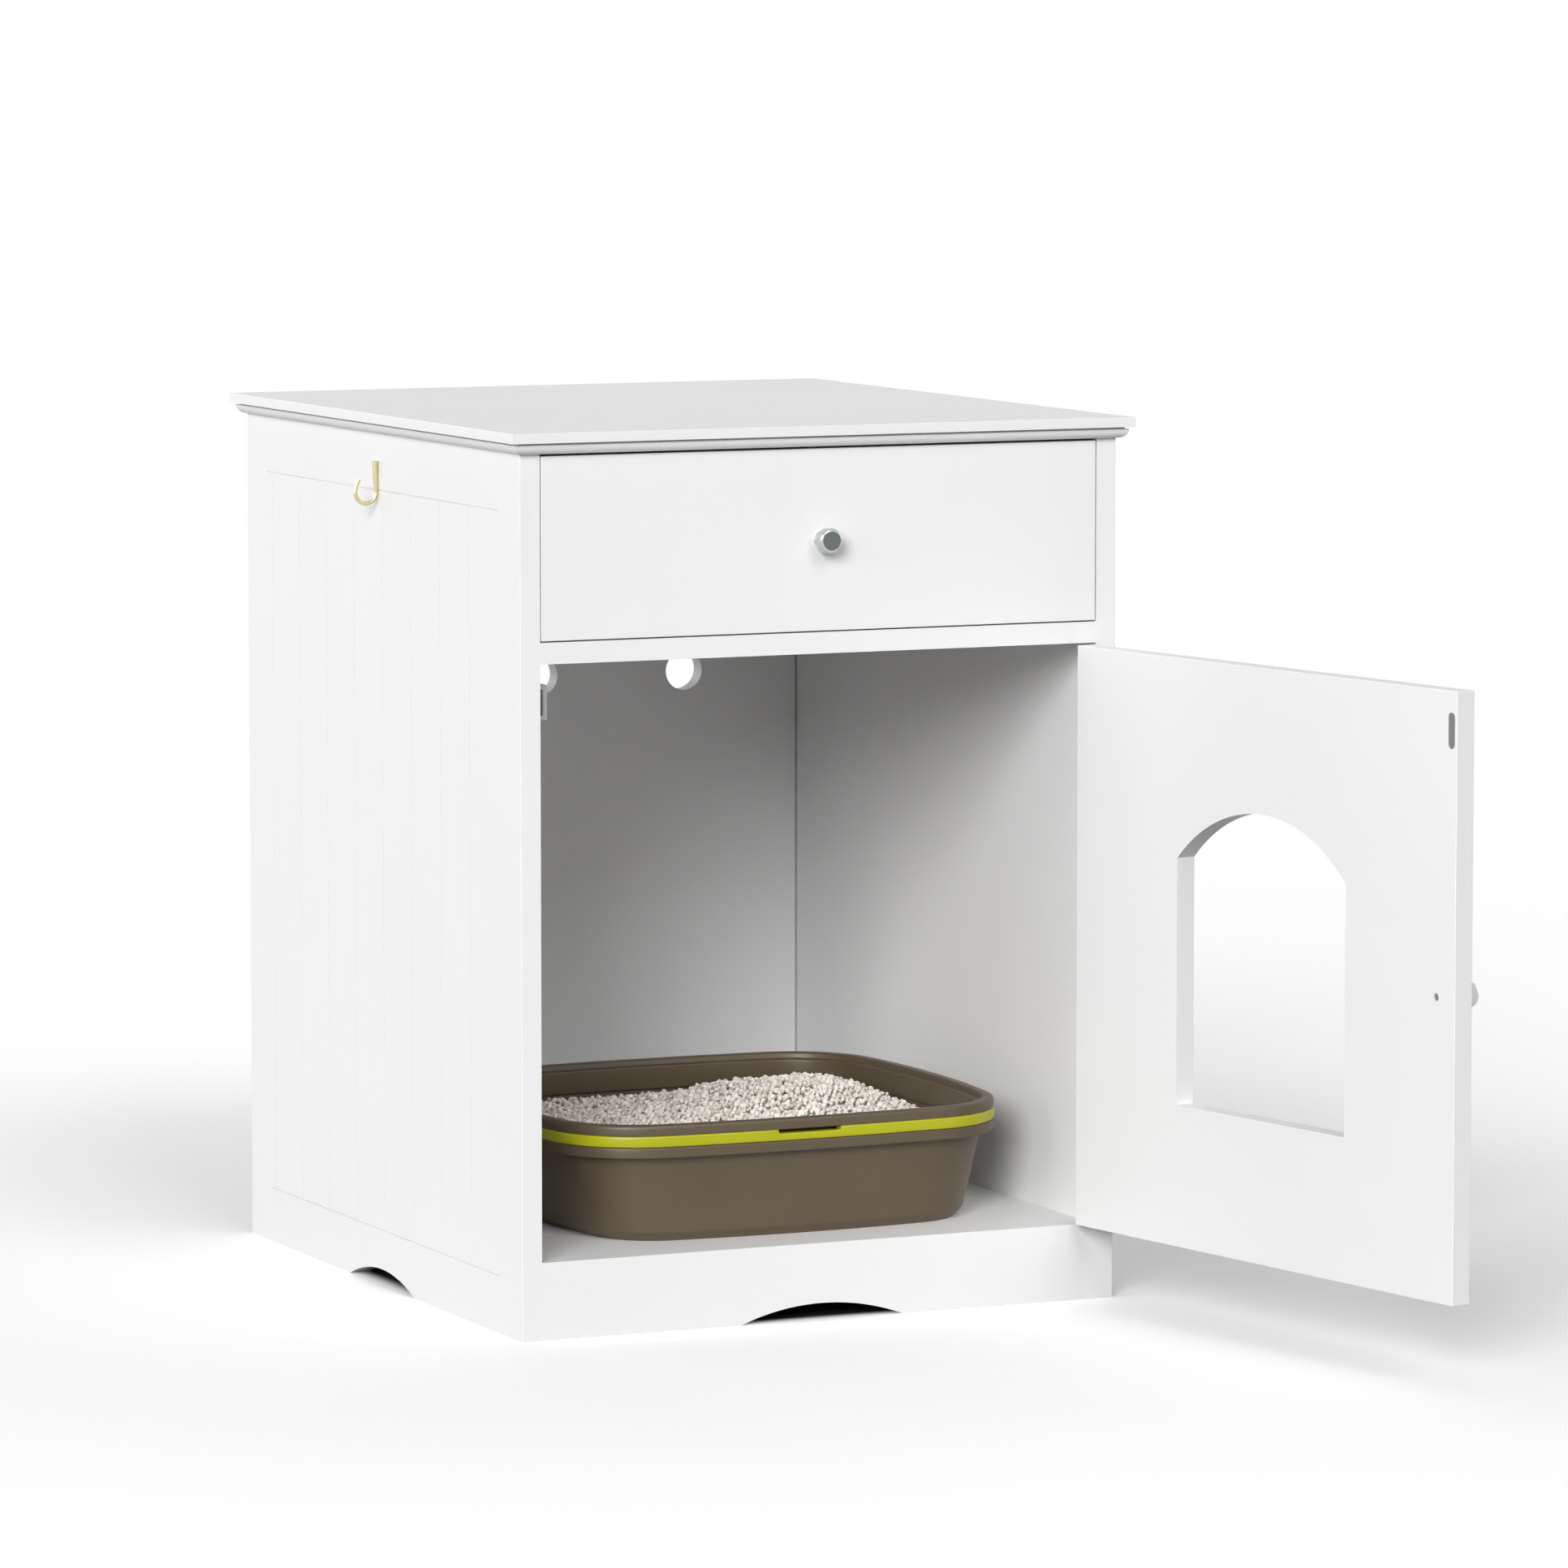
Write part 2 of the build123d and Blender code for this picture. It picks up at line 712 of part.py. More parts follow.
catch_body.part.label = "catch_body"
export_step(catch_body.part, "parts/catch_body.step")

with BuildPart() as catch_magnet:
    bar(
        (magnet_x - magnet_width / 2, catch_front_y + edge_round, magnet_low),
        (magnet_x + magnet_width / 2, magnet_back_y, magnet_top),
    )
catch_magnet.part.label = "catch_magnet"
export_step(catch_magnet.part, "parts/catch_magnet.step")

with BuildPart() as catch_pole_plates:
    for sign in (-1, 1):
        plate_x = magnet_x + sign * (magnet_width + pole_width) / 2
        bar(
            (plate_x - pole_width / 2, catch_front_y, magnet_low),
            (plate_x + pole_width / 2, magnet_back_y, magnet_top),
        )
catch_pole_plates.part.label = "catch_pole_plates"
export_step(catch_pole_plates.part, "parts/catch_pole_plates.step")

with BuildPart() as catch_screws:
    rod(catch_screw_points, left, catch_screw_head, catch_screw_head_height)
    rod(catch_screw_points, left, catch_screw_diameter, catch_screw_length)
catch_screws.part.label = "catch_screws"
export_step(catch_screws.part, "parts/catch_screws.step")

# Butt hinges
with BuildPart() as hinge_cabinet_leaves:
    for low in hinge_lows:
        hinge_leaf(pin_frame, 1, low, cabinet_knuckles)
    sheet_screw_holes(cabinet_leaf_screws, left)
hinge_cabinet_leaves.part.label = "hinge_cabinet_leaves"
export_step(hinge_cabinet_leaves.part, "parts/hinge_cabinet_leaves.step")

with BuildPart() as hinge_door_leaves:
    for low in hinge_lows:
        hinge_leaf(door_frame, -1, low, door_knuckles)
    sheet_screw_holes(door_leaf_screws, door_edge_out)
hinge_door_leaves.part.label = "hinge_door_leaves"
export_step(hinge_door_leaves.part, "parts/hinge_door_leaves.step")

with BuildPart() as hinge_pins:
    pin_points = [Vector(pin_x, pin_y, low - pin_end_trim) for low in hinge_lows]
    rod(pin_points, up, pin_diameter, leaf_length + 2 * pin_end_trim)
hinge_pins.part.label = "hinge_pins"
export_step(hinge_pins.part, "parts/hinge_pins.step")

with BuildPart() as hinge_cabinet_screws:
    sheet_screws(cabinet_leaf_screws, left)
hinge_cabinet_screws.part.label = "hinge_cabinet_screws"
export_step(hinge_cabinet_screws.part, "parts/hinge_cabinet_screws.step")

with BuildPart() as hinge_door_screws:
    sheet_screws(door_leaf_screws, door_edge_out)
hinge_door_screws.part.label = "hinge_door_screws"
export_step(hinge_door_screws.part, "parts/hinge_door_screws.step")


def knob(seat):
    """A turned knob that stands on the seat plane: base, waist, flared head, flat face."""
    base, neck = knob_base_diameter / 2, knob_neck_diameter / 2
    head = knob_head_diameter / 2
    face, rim = head - knob_rim_round, knob_length - knob_rim_round
    with BuildSketch(Plane(origin=seat.origin, x_dir=seat.x_dir, z_dir=-seat.y_dir)) as profile:
        with BuildLine():
            Polyline((0, knob_length), (0, 0), (base, 0), (base, knob_base_height))
            Line((base, knob_base_height), (neck, knob_neck_height))
            Line((neck, knob_neck_height), (head, knob_head_height))
            Line((head, knob_head_height), (head, rim))
            CenterArc((face, rim), knob_rim_round, 0, 90)
            Line((face, knob_length), (0, knob_length))
        make_face()
    revolve(profile.sketch, axis=Axis(seat.origin, seat.z_dir))
    drill([seat.origin], -seat.z_dir, knob_screw_diameter + 2 * fit, knob_screw_reach + fit)


def knob_screw_bore(point, out):
    """Stepped bore for a knob screw, from the inner face of a board that looks along out."""
    drill([point], out, knob_screw_diameter + 2 * fit, board)
    drill([point], out, knob_screw_head + 2 * fit, knob_screw_sink + knob_screw_head_height)


def knob_screw(point, out):
    """Cheese-head screw, sunk below the inner face, that reaches into the knob."""
    head_top = point - out * knob_screw_sink
    rod([head_top], -out, knob_screw_head, knob_screw_head_height)
    rod([head_top], -out, knob_screw_diameter, board - knob_screw_sink + knob_screw_reach)


# Door panel with the arched doorway
door_centre = (door_free_edge + door_hinge_edge) / 2
door_knob_x = door_free_edge + door_knob_inset
door_inner = -pin_proud - board
door_height = door_high - door_low
doorway_width = door_width * doorway_width_share
doorway_rise = doorway_width * doorway_rise_share
sill_z = door_low + door_height * doorway_sill_share
spring_z = sill_z + door_height * doorway_side_share
doorway_left = door_centre - doorway_width / 2
doorway_right = door_centre + doorway_width / 2
strike_x = door_free_edge + strike_edge_inset
door_knob_back = door_point(door_knob_x, door_inner, door_mid)
strike_middle = door_point(strike_x, door_inner, catch_z)
strike_seat = Plane(origin=strike_middle, x_dir=-door_frame.x_dir, z_dir=-door_out)
strike_screw_points = [
    door_point(strike_x, door_inner + strike_recess - strike_thickness, catch_z + shift)
    for shift in (-strike_screw_spacing / 2, strike_screw_spacing / 2)
]

with BuildPart() as door_panel:
    with BuildSketch(door_face.offset(-pin_proud)):
        with Locations((door_centre, door_low)):
            Rectangle(door_width, door_height, align=standing)
    extrude(amount=-board)
    fillet(door_panel.edges(), edge_round)
    with BuildSketch(door_face.offset(-pin_proud)):
        with BuildLine():
            ThreePointArc(
                (doorway_left, spring_z),
                (door_centre, spring_z + doorway_rise),
                (doorway_right, spring_z),
            )
            Polyline(
                (doorway_right, spring_z),
                (doorway_right, sill_z),
                (doorway_left, sill_z),
                (doorway_left, spring_z),
            )
        make_face()
    extrude(amount=-board, mode=Mode.SUBTRACT)
    cut_leaf_seats(door_frame, -1)
    sheet_screw_holes(door_leaf_screws, door_edge_out)
    knob_screw_bore(door_knob_back, -door_out)
    with BuildSketch(strike_seat):
        SlotOverall(strike_height + 2 * fit, strike_width + 2 * fit, rotation=90)
    extrude(amount=-strike_recess, mode=Mode.SUBTRACT)
    drill(strike_screw_points, -door_out, strike_screw_diameter + 2 * fit, strike_screw_length + fit)
door_panel.part.label = "door_panel"
export_step(door_panel.part, "parts/door_panel.step")

with BuildPart() as door_knob:
    door_knob_seat = Plane(
        origin=door_point(door_knob_x, -pin_proud, door_mid), x_dir=door_frame.x_dir, z_dir=door_out
    )
    knob(door_knob_seat)
door_knob.part.label = "door_knob"
export_step(door_knob.part, "parts/door_knob.step")

with BuildPart() as door_knob_screw:
    knob_screw(door_knob_back, -door_out)
door_knob_screw.part.label = "door_knob_screw"
export_step(door_knob_screw.part, "parts/door_knob_screw.step")

with BuildPart() as strike_plate:
    with BuildSketch(strike_seat.offset(-strike_recess)):
        SlotOverall(strike_height, strike_width, rotation=90)
    extrude(amount=strike_thickness)
    drill(strike_screw_points, -door_out, strike_screw_diameter + 2 * fit, strike_thickness)
strike_plate.part.label = "strike_plate"
export_step(strike_plate.part, "parts/strike_plate.step")

with BuildPart() as strike_screws:
    rod(strike_screw_points, door_out, strike_screw_diameter, strike_screw_length)
strike_screws.part.label = "strike_screws"
export_step(strike_screws.part, "parts/strike_screws.step")

# Drawer box
front_low = shelf_height + reveal
front_high = body_height - drawer_top_gap
front_half = inner_x - reveal
front_mid = (front_low + front_high) / 2
bottom_low = drawer_low + drawer_bottom_lift
bottom_high = bottom_low + drawer_bottom_thickness
box_inner_x = drawer_x - drawer_side
box_inner_back_y = drawer_back_y - drawer_side
groove_reach = drawer_groove - drawer_groove_gap
drawer_side_height = drawer_top - drawer_low
drawer_joint_z = drawer_low + drawer_side_height * drawer_joint_share
drawer_dowel_spacing = drawer_side_height * drawer_dowel_share
drawer_dowel_in_front = board - drawer_dowel_end_wall
drawer_cam_height = drawer_side - drawer_cam_floor
drawer_cams = [
    (Vector(sign * (drawer_x - drawer_side / 2), behind_front_y, drawer_joint_z), backward, -sign * right)
    for side, sign in hands
]
drawer_dowel_joints = [
    (Vector(sign * (drawer_x - drawer_side / 2), behind_front_y, drawer_joint_z + shift), backward)
    for side, sign in hands
    for shift in (-drawer_dowel_spacing / 2, drawer_dowel_spacing / 2)
]
drawer_knob_back = Vector(0, behind_front_y, front_mid)


def drawer_screw_points(sign):
    """Screw places on the outer face of a drawer side, into the end of the drawer's back."""
    shifts = (-drawer_dowel_spacing / 2, drawer_dowel_spacing / 2)
    place_y = drawer_back_y - drawer_side / 2
    return [Vector(sign * drawer_x, place_y, drawer_joint_z + shift) for shift in shifts]


def cut_bottom_groove():
    """Groove for the drawer's thin bottom, cut round all four walls of the box."""
    bar(
        (-box_inner_x - drawer_groove, behind_front_y - drawer_groove, bottom_low),
        (box_inner_x + drawer_groove, box_inner_back_y + drawer_groove, bottom_high + fit),
        mode=Mode.SUBTRACT,
    )


with BuildPart() as drawer_front:
    bar((-front_half, front_y, front_low), (front_half, behind_front_y, front_high))
    fillet(drawer_front.edges(), edge_round)
    cut_bottom_groove()
    cut_bolt_threads(drawer_cams)
    for root, along in drawer_dowel_joints:
        drill([root], along, drawer_dowel_diameter + 2 * fit, drawer_dowel_in_front + fit)
    knob_screw_bore(drawer_knob_back, backward)
drawer_front.part.label = "drawer_front"
export_step(drawer_front.part, "parts/drawer_front.step")

for side, sign in hands:
    with BuildPart() as drawer_wall:
        bar(
            (sign * drawer_x - drawer_side * max(sign, 0), behind_front_y, drawer_low),
            (sign * drawer_x - drawer_side * min(sign, 0), drawer_back_y, drawer_top),
        )
        cut_bottom_groove()
        cut_cam_seats(on_hand(drawer_cams, sign), drawer_side, drawer_cam_height)
        for root, along in on_hand(drawer_dowel_joints, sign):
            drill([root], -along, drawer_dowel_diameter + 2 * fit, drawer_dowel_in_side + fit)
        sheet_screw_holes(drawer_runner_screw_points(sign), sign * right)
        drill(drawer_screw_points(sign), sign * right, drawer_screw_diameter + 2 * fit, drawer_side)
        drill(drawer_screw_points(sign), sign * right, drawer_screw_head + 2 * fit, drawer_screw_head_height)
    drawer_wall.part.label = f"drawer_{side}_side"
    export_step(drawer_wall.part, f"parts/drawer_{side}_side.step")

with BuildPart() as drawer_back:
    bar((-box_inner_x, box_inner_back_y, drawer_low), (box_inner_x, drawer_back_y, drawer_top))
    cut_bottom_groove()
    for side, sign in hands:
        screw_hole = drawer_screw_diameter + 2 * fit
        drill(drawer_screw_points(sign), sign * right, screw_hole, drawer_screw_length + fit)
drawer_back.part.label = "drawer_back"
export_step(drawer_back.part, "parts/drawer_back.step")

with BuildPart() as drawer_bottom:
    bar(
        (-box_inner_x - groove_reach, behind_front_y - groove_reach, bottom_low),
        (box_inner_x + groove_reach, box_inner_back_y + groove_reach, bottom_high),
    )
drawer_bottom.part.label = "drawer_bottom"
export_step(drawer_bottom.part, "parts/drawer_bottom.step")

with BuildPart() as drawer_knob:
    knob(Plane(origin=(0, front_y, front_mid), x_dir=right, z_dir=forward))
drawer_knob.part.label = "drawer_knob"
export_step(drawer_knob.part, "parts/drawer_knob.step")

with BuildPart() as drawer_knob_screw:
    knob_screw(drawer_knob_back, backward)
drawer_knob_screw.part.label = "drawer_knob_screw"
export_step(drawer_knob_screw.part, "parts/drawer_knob_screw.step")

with BuildPart() as drawer_cam_bolts:
    add_cam_bolts(drawer_cams)
drawer_cam_bolts.part.label = "drawer_cam_bolts"
export_step(drawer_cam_bolts.part, "parts/drawer_cam_bolts.step")

with BuildPart() as drawer_cam_locks:
    add_cam_locks(drawer_cams, drawer_side, drawer_cam_height)
drawer_cam_locks.part.label = "drawer_cam_locks"
export_step(drawer_cam_locks.part, "parts/drawer_cam_locks.step")

with BuildPart() as drawer_dowels:
    add_dowels(drawer_dowel_joints, drawer_dowel_diameter, drawer_dowel_in_front, drawer_dowel_in_side)
    chamfer(drawer_dowels.edges().filter_by(GeomType.CIRCLE), dowel_chamfer)
drawer_dowels.part.label = "drawer_dowels"
export_step(drawer_dowels.part, "parts/drawer_dowels.step")

with BuildPart() as drawer_screws:
    for side, sign in hands:
        rod(drawer_screw_points(sign), -sign * right, drawer_screw_head, drawer_screw_head_height)
        rod(drawer_screw_points(sign), -sign * right, drawer_screw_diameter, drawer_screw_length)
drawer_screws.part.label = "drawer_screws"
export_step(drawer_screws.part, "parts/drawer_screws.step")

# Roller runners: a channel on the cabinet, an angle with a top flange on the drawer
web_x = inner_x - sheet
drawer_web_x = drawer_x + sheet
axle_length = roller_width + 2 * roller_side_gap + axle_head
cabinet_axle_x = web_x
drawer_axle_x = drawer_web_x


def mirrored_bar(sign, low, high):
    """A block given for the right side, laid on either side."""
    near, far = sorted((sign * low[0], sign * high[0]))
    bar((near, low[1], low[2]), (far, high[1], high[2]))


def axle(point, out):
    """A riveted axle with a head that keeps the roller on."""
    rod([point], out, axle_diameter, axle_length)
    rod([point + out * (axle_length - axle_head)], out, axle_head_diameter, axle_head)


def roller(point, out):
    """A nylon wheel with a bore and lightening holes, clear of the web it stands beside."""
    start = point + out * roller_side_gap
    rod([start], out, roller_diameter, roller_width)
    drill([start], -out, axle_diameter + 2 * running_fit, roller_width)
    with Locations(*facing([start], -out)):
        with PolarLocations(roller_hole_circle / 2, roller_hole_count):
            Cylinder(roller_hole / 2, roller_width, align=sunk, mode=Mode.SUBTRACT)


for side, sign in hands:
    front_axle = Vector(sign * cabinet_axle_x, front_roller_y, roller_z)
    rear_axle = Vector(sign * drawer_axle_x, rear_roller_y, roller_z)
    channel_edge = inner_x - channel_width
    with BuildPart() as cabinet_runner:
        mirrored_bar(sign, (web_x, channel_front_y, channel_low), (inner_x, channel_back_y, channel_high))
        for low in (channel_low, channel_high - sheet):
            mirrored_bar(sign, (channel_edge, channel_front_y, low), (inner_x, channel_back_y, low + sheet))
        axle(front_axle, -sign * right)
        sheet_screw_holes(cabinet_runner_screw_points(sign), -sign * right)
    cabinet_runner.part.label = f"{side}_cabinet_runner"
    export_step(cabinet_runner.part, f"parts/{side}_cabinet_runner.step")

    flange_edge = web_x - drawer_flange_gap
    foot_low = drawer_low - sheet
    flange_high = drawer_flange_low + sheet
    with BuildPart() as drawer_runner:
        mirrored_bar(sign, (drawer_x, behind_front_y, foot_low), (drawer_web_x, drawer_back_y, flange_high))
        mirrored_bar(sign, (box_inner_x, behind_front_y, foot_low), (drawer_x, drawer_back_y, drawer_low))
        flange_front = (drawer_x, behind_front_y, drawer_flange_low)
        mirrored_bar(sign, flange_front, (flange_edge, drawer_back_y, flange_high))
        axle(rear_axle, sign * right)
        sheet_screw_holes(drawer_runner_screw_points(sign), sign * right)
    drawer_runner.part.label = f"{side}_drawer_runner"
    export_step(drawer_runner.part, f"parts/{side}_drawer_runner.step")

    with BuildPart() as front_roller:
        roller(front_axle, -sign * right)
    front_roller.part.label = f"front_{side}_roller"
    export_step(front_roller.part, f"parts/front_{side}_roller.step")

    with BuildPart() as rear_roller:
        roller(rear_axle, sign * right)
    rear_roller.part.label = f"rear_{side}_roller"
    export_step(rear_roller.part, f"parts/rear_{side}_roller.step")

with BuildPart() as cabinet_runner_screws:
    for side, sign in hands:
        sheet_screws(cabinet_runner_screw_points(sign), -sign * right)
cabinet_runner_screws.part.label = "cabinet_runner_screws"
export_step(cabinet_runner_screws.part, "parts/cabinet_runner_screws.step")

with BuildPart() as drawer_runner_screws:
    for side, sign in hands:
        sheet_screws(drawer_runner_screw_points(sign), sign * right)
drawer_runner_screws.part.label = "drawer_runner_screws"
export_step(drawer_runner_screws.part, "parts/drawer_runner_screws.step")

# Litter tray: its frame stands on the floor panel, under the middle of the tray
tray_length = 2 * (inner_x - tray_side_gap)
tray_frame = Plane((tray_shift, front_y + tray_setback + tray_width / 2, floor_height))
flange_low = pan_height
litter_level = pan_height - litter_drop
skirt_outer = pan_lip + tray_wall + rim_skirt_gap
band_low = flange_low + flange_height
rim_low = band_low + band_height


def bowed_outline(height, inset_x, inset_y, corner):
    """The tray's outline at a height, drawn in: bulging sides and round corners."""
    end = tray_length / 2 - inset_x
    side_end = tray_width / 2 - inset_y
    corner_x = end - tray_end_bow
    corner_y = side_end - tray_bow
    with BuildSketch(tray_frame.offset(height)) as outline:
        with BuildLine():
            ThreePointArc((-corner_x, -corner_y), (0, -side_end), (corner_x, -corner_y))
            ThreePointArc((corner_x, -corner_y), (end, 0), (corner_x, corner_y))
            ThreePointArc((corner_x, corner_y), (0, side_end), (-corner_x, corner_y))
            ThreePointArc((-corner_x, corner_y), (-end, 0), (-corner_x, -corner_y))
        make_face()
        fillet(outline.vertices(), corner)
    return outline.sketch


def wall_section(height, inset):
    """Section of the pan's sloping wall at a height, drawn in by a further inset."""
    share = height / pan_height
    slope_x = pan_lip + (pan_base_inset_x - pan_lip) * (1 - share)
    slope_y = pan_lip + (pan_base_inset_y - pan_lip) * (1 - share)
    corner = tray_corner - pan_lip - pan_corner_trim * (1 - share) - inset
    return bowed_outline(height, slope_x + inset, slope_y + inset, corner)


def ring(low, height, outer_inset, inner_inset, mode=Mode.ADD):
    """A band that follows the tray's outline between two insets."""
    outer = bowed_outline(low, outer_inset, outer_inset, tray_corner - outer_inset)
    inner = bowed_outline(low, inner_inset, inner_inset, tray_corner - inner_inset)
    extrude(outer - inner, amount=height, mode=mode)


with BuildPart() as litter_pan:
    outer_foot = wall_section(0, pan_foot_inset)
    loft([outer_foot, wall_section(pan_foot_height, 0), wall_section(pan_height, 0)], ruled=True)
    ring(flange_low, flange_height, 0, pan_lip + tray_wall)
    ring(flange_low, flange_height - tray_wall, tray_wall, pan_lip, mode=Mode.SUBTRACT)
    inner_foot = wall_section(tray_wall, tray_wall + pan_foot_inset)
    inner_wall = wall_section(pan_foot_height + tray_wall, tray_wall)
    loft([inner_foot, inner_wall, wall_section(pan_height, tray_wall)], ruled=True, mode=Mode.SUBTRACT)
litter_pan.part.label = "litter_pan"
export_step(litter_pan.part, "parts/litter_pan.step")

with BuildPart() as litter:
    litter_foot = wall_section(tray_wall, tray_wall + pan_foot_inset + litter_gap)
    litter_wall = wall_section(pan_foot_height + tray_wall, tray_wall + litter_gap)
    loft([litter_foot, litter_wall, wall_section(litter_level, tray_wall + litter_gap)], ruled=True)
    heap_inset = skirt_outer + rim_skirt + litter_gap
    heap = bowed_outline(litter_level, heap_inset, heap_inset, tray_corner - heap_inset)
    extrude(heap, amount=litter_heap)
litter.part.label = "litter"
export_step(litter.part, "parts/litter.step")

with BuildPart() as tray_band:
    ring(band_low, band_height, -band_proud, band_seat)
    with BuildSketch(tray_frame.offset(rim_low)):
        with Locations((0, -tray_width / 2)):
            Rectangle(band_notch_width, 2 * (band_seat - rim_skirt))
    extrude(amount=-band_notch_depth, mode=Mode.SUBTRACT)
tray_band.part.label = "tray_band"
export_step(tray_band.part, "parts/tray_band.step")

rim_width = skirt_outer + rim_skirt + rim_lip
with BuildPart() as tray_rim:
    ring(rim_low, rim_height, 0, rim_width)
    fillet(tray_rim.edges().group_by(Axis.Z)[-1], rim_round)
    skirt_low = band_low - rim_skirt_drop
    ring(skirt_low, rim_low - skirt_low, skirt_outer, skirt_outer + rim_skirt)
tray_rim.part.label = "tray_rim"
export_step(tray_rim.part, "parts/tray_rim.step")
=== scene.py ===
# %% [markdown]
# A litter box enclosure, dressed in Blender.
# The real object is a white lacquered cabinet with a drawer, a door with an arched cat doorway and
# a moulded litter tray inside. The boards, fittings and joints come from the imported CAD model, which
# is loaded first as a fixed frame. This lesson gives every board and fitting its finish, and builds
# the tray and its litter as moulded and heaped meshes.

# %% Load the frame
import itertools
import json
import math
import random

import bpy
from mathutils import Euler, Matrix, Vector, geometry, noise


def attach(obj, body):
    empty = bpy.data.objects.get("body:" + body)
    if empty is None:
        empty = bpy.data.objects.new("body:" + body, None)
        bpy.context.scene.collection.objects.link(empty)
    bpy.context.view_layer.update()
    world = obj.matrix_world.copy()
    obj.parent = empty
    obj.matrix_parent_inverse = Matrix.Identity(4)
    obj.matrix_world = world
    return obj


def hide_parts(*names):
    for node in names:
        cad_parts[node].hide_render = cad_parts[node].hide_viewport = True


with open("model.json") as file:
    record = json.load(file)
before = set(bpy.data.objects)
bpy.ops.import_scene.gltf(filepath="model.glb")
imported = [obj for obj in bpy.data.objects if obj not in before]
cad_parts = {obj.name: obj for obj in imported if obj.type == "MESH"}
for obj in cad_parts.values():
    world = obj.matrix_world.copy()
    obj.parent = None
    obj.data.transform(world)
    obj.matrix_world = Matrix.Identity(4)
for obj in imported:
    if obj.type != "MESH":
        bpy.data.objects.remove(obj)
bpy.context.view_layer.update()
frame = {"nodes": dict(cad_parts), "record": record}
nodes = frame["nodes"]
MM = 0.001

# %% [markdown]
# The camera comes next, because everything is compared through it.
# A product picture of furniture is usually taken from far away with a long lens, so that upright
# edges stay nearly parallel. It could be aimed at a target with a constraint, but plain angles are
# easier to fit: the place, turn, dip and lens below were fitted to the cabinet's edges.

# %% Camera
CAMERA_PLACE_MM = (-2409.1, -5499.4, 985.3)
CAMERA_TURN = 24.445
CAMERA_DIP = 5.980
CAMERA_LENS = 188.92

camera = bpy.data.objects.new("camera", bpy.data.cameras.new("camera"))
camera.data.sensor_width = 36.0
camera.data.lens = CAMERA_LENS
camera.data.clip_end = 100.0
camera.location = Vector(CAMERA_PLACE_MM) * MM
camera.rotation_euler = (math.radians(90 - CAMERA_DIP), 0.0, math.radians(-CAMERA_TURN))
bpy.context.collection.objects.link(camera)
bpy.context.scene.camera = camera
print("camera stands", round(camera.location.length, 2), "m away")

# %% [markdown]
# Materials are node trees, and three small helpers keep them short.
# Colours are written as the sRGB hex values that a colour picker shows, and one function turns them
# into the linear values that Blender's sockets hold. Another adds one node with its settings and
# links. The third starts a material and sets the plain values on the shader's own sockets. Writing
# every node out in full would work too, but it hides what differs from one finish to the next.


# %% Helpers for colours and nodes
def colour(code):
    """Linear colour for a socket, from an sRGB hex code."""
    shares = [int(code[start : start + 2], 16) / 255 for start in (1, 3, 5)]
    linear = [
        share / 12.92 if share <= 0.04045 else ((share + 0.055) / 1.055) ** 2.4 for share in shares
    ]
    return (*linear, 1.0)


def add_node(tree, kind, inputs=None, **settings):
    """One node: settings are its properties, inputs are socket values or the sockets to link from."""
    node = tree.nodes.new(kind)
    for name, value in settings.items():
        setattr(node, name, value)
    for name, value in (inputs or {}).items():
        if isinstance(value, bpy.types.NodeSocket):
            tree.links.new(value, node.inputs[name])
        else:
            node.inputs[name].default_value = value
    return node


def start_material(name, **values):
    """A material with its Principled shader's plain values set."""
    material = bpy.data.materials.new(name)
    material.use_nodes = True
    shader = material.node_tree.nodes["Principled BSDF"]
    for socket, value in values.items():
        shader.inputs[socket.replace("_", " ")].default_value = value
    return material, material.node_tree, shader


def per_size(millimetres):
    """Texture scale that makes one pattern cell about this size, in coordinates that are metres."""
    return 1.0 / (millimetres * MM)


materials = {}
print("helpers ready")

# %% [markdown]
# The boards are fibreboard with sprayed white lacquer, rubbed to a satin, so the eye sees a soft,
# even white with wide highlights. Spraying leaves a faint orange peel, which could be modelled only
# with far too many faces, so a bump does it. The peel of the real finish is about 1.5 mm across, which
# is too fine to show, so it is drawn at 5 mm and kept very shallow. A slow change of tone over 200 mm
# keeps the large faces from looking printed.

# %% White satin lacquer
LACQUER_WHITE = "#f4f4f4"
LACQUER_SHADE = "#f0f0f0"
PEEL_MM = 5.0
PEEL_DEPTH_MM = 0.3
PEEL_STRENGTH = 0.025
TONE_MM = 200.0

lacquer, tree, shader = start_material("white satin lacquer on fibreboard", Roughness=0.42, IOR=1.5)
place = add_node(tree, "ShaderNodeTexCoord").outputs["Object"]
tone = add_node(tree, "ShaderNodeTexNoise", {"Vector": place, "Scale": per_size(TONE_MM), "Detail": 2.0})
tint = add_node(tree, "ShaderNodeMix", {"Factor": tone.outputs["Fac"]}, data_type="RGBA")
tint.inputs["A"].default_value = colour(LACQUER_WHITE)
tint.inputs["B"].default_value = colour(LACQUER_SHADE)
tree.links.new(tint.outputs["Result"], shader.inputs["Base Color"])
peel = add_node(tree, "ShaderNodeTexNoise", {"Vector": place, "Scale": per_size(PEEL_MM), "Detail": 1.0})
bump = add_node(
    tree,
    "ShaderNodeBump",
    {"Height": peel.outputs["Fac"], "Strength": PEEL_STRENGTH, "Distance": PEEL_DEPTH_MM * MM},
)
tree.links.new(bump.outputs["Normal"], shader.inputs["Normal"])
materials["white_board"] = lacquer
print("made", lacquer.name)

# %% [markdown]
# The drawer's bottom is thin hardboard with a printed white face: duller than the lacquer, with the
# faint mottle of pressed fibre showing through. The lacquer could serve here too, but a bottom in the
# drawer's own finish would look like solid board. A fine noise between two off-whites gives the mottle.

# %% White-faced hardboard
HARDBOARD_WHITE = "#ececea"
HARDBOARD_SHADE = "#e0dfdb"
FIBRE_MM = 3.0

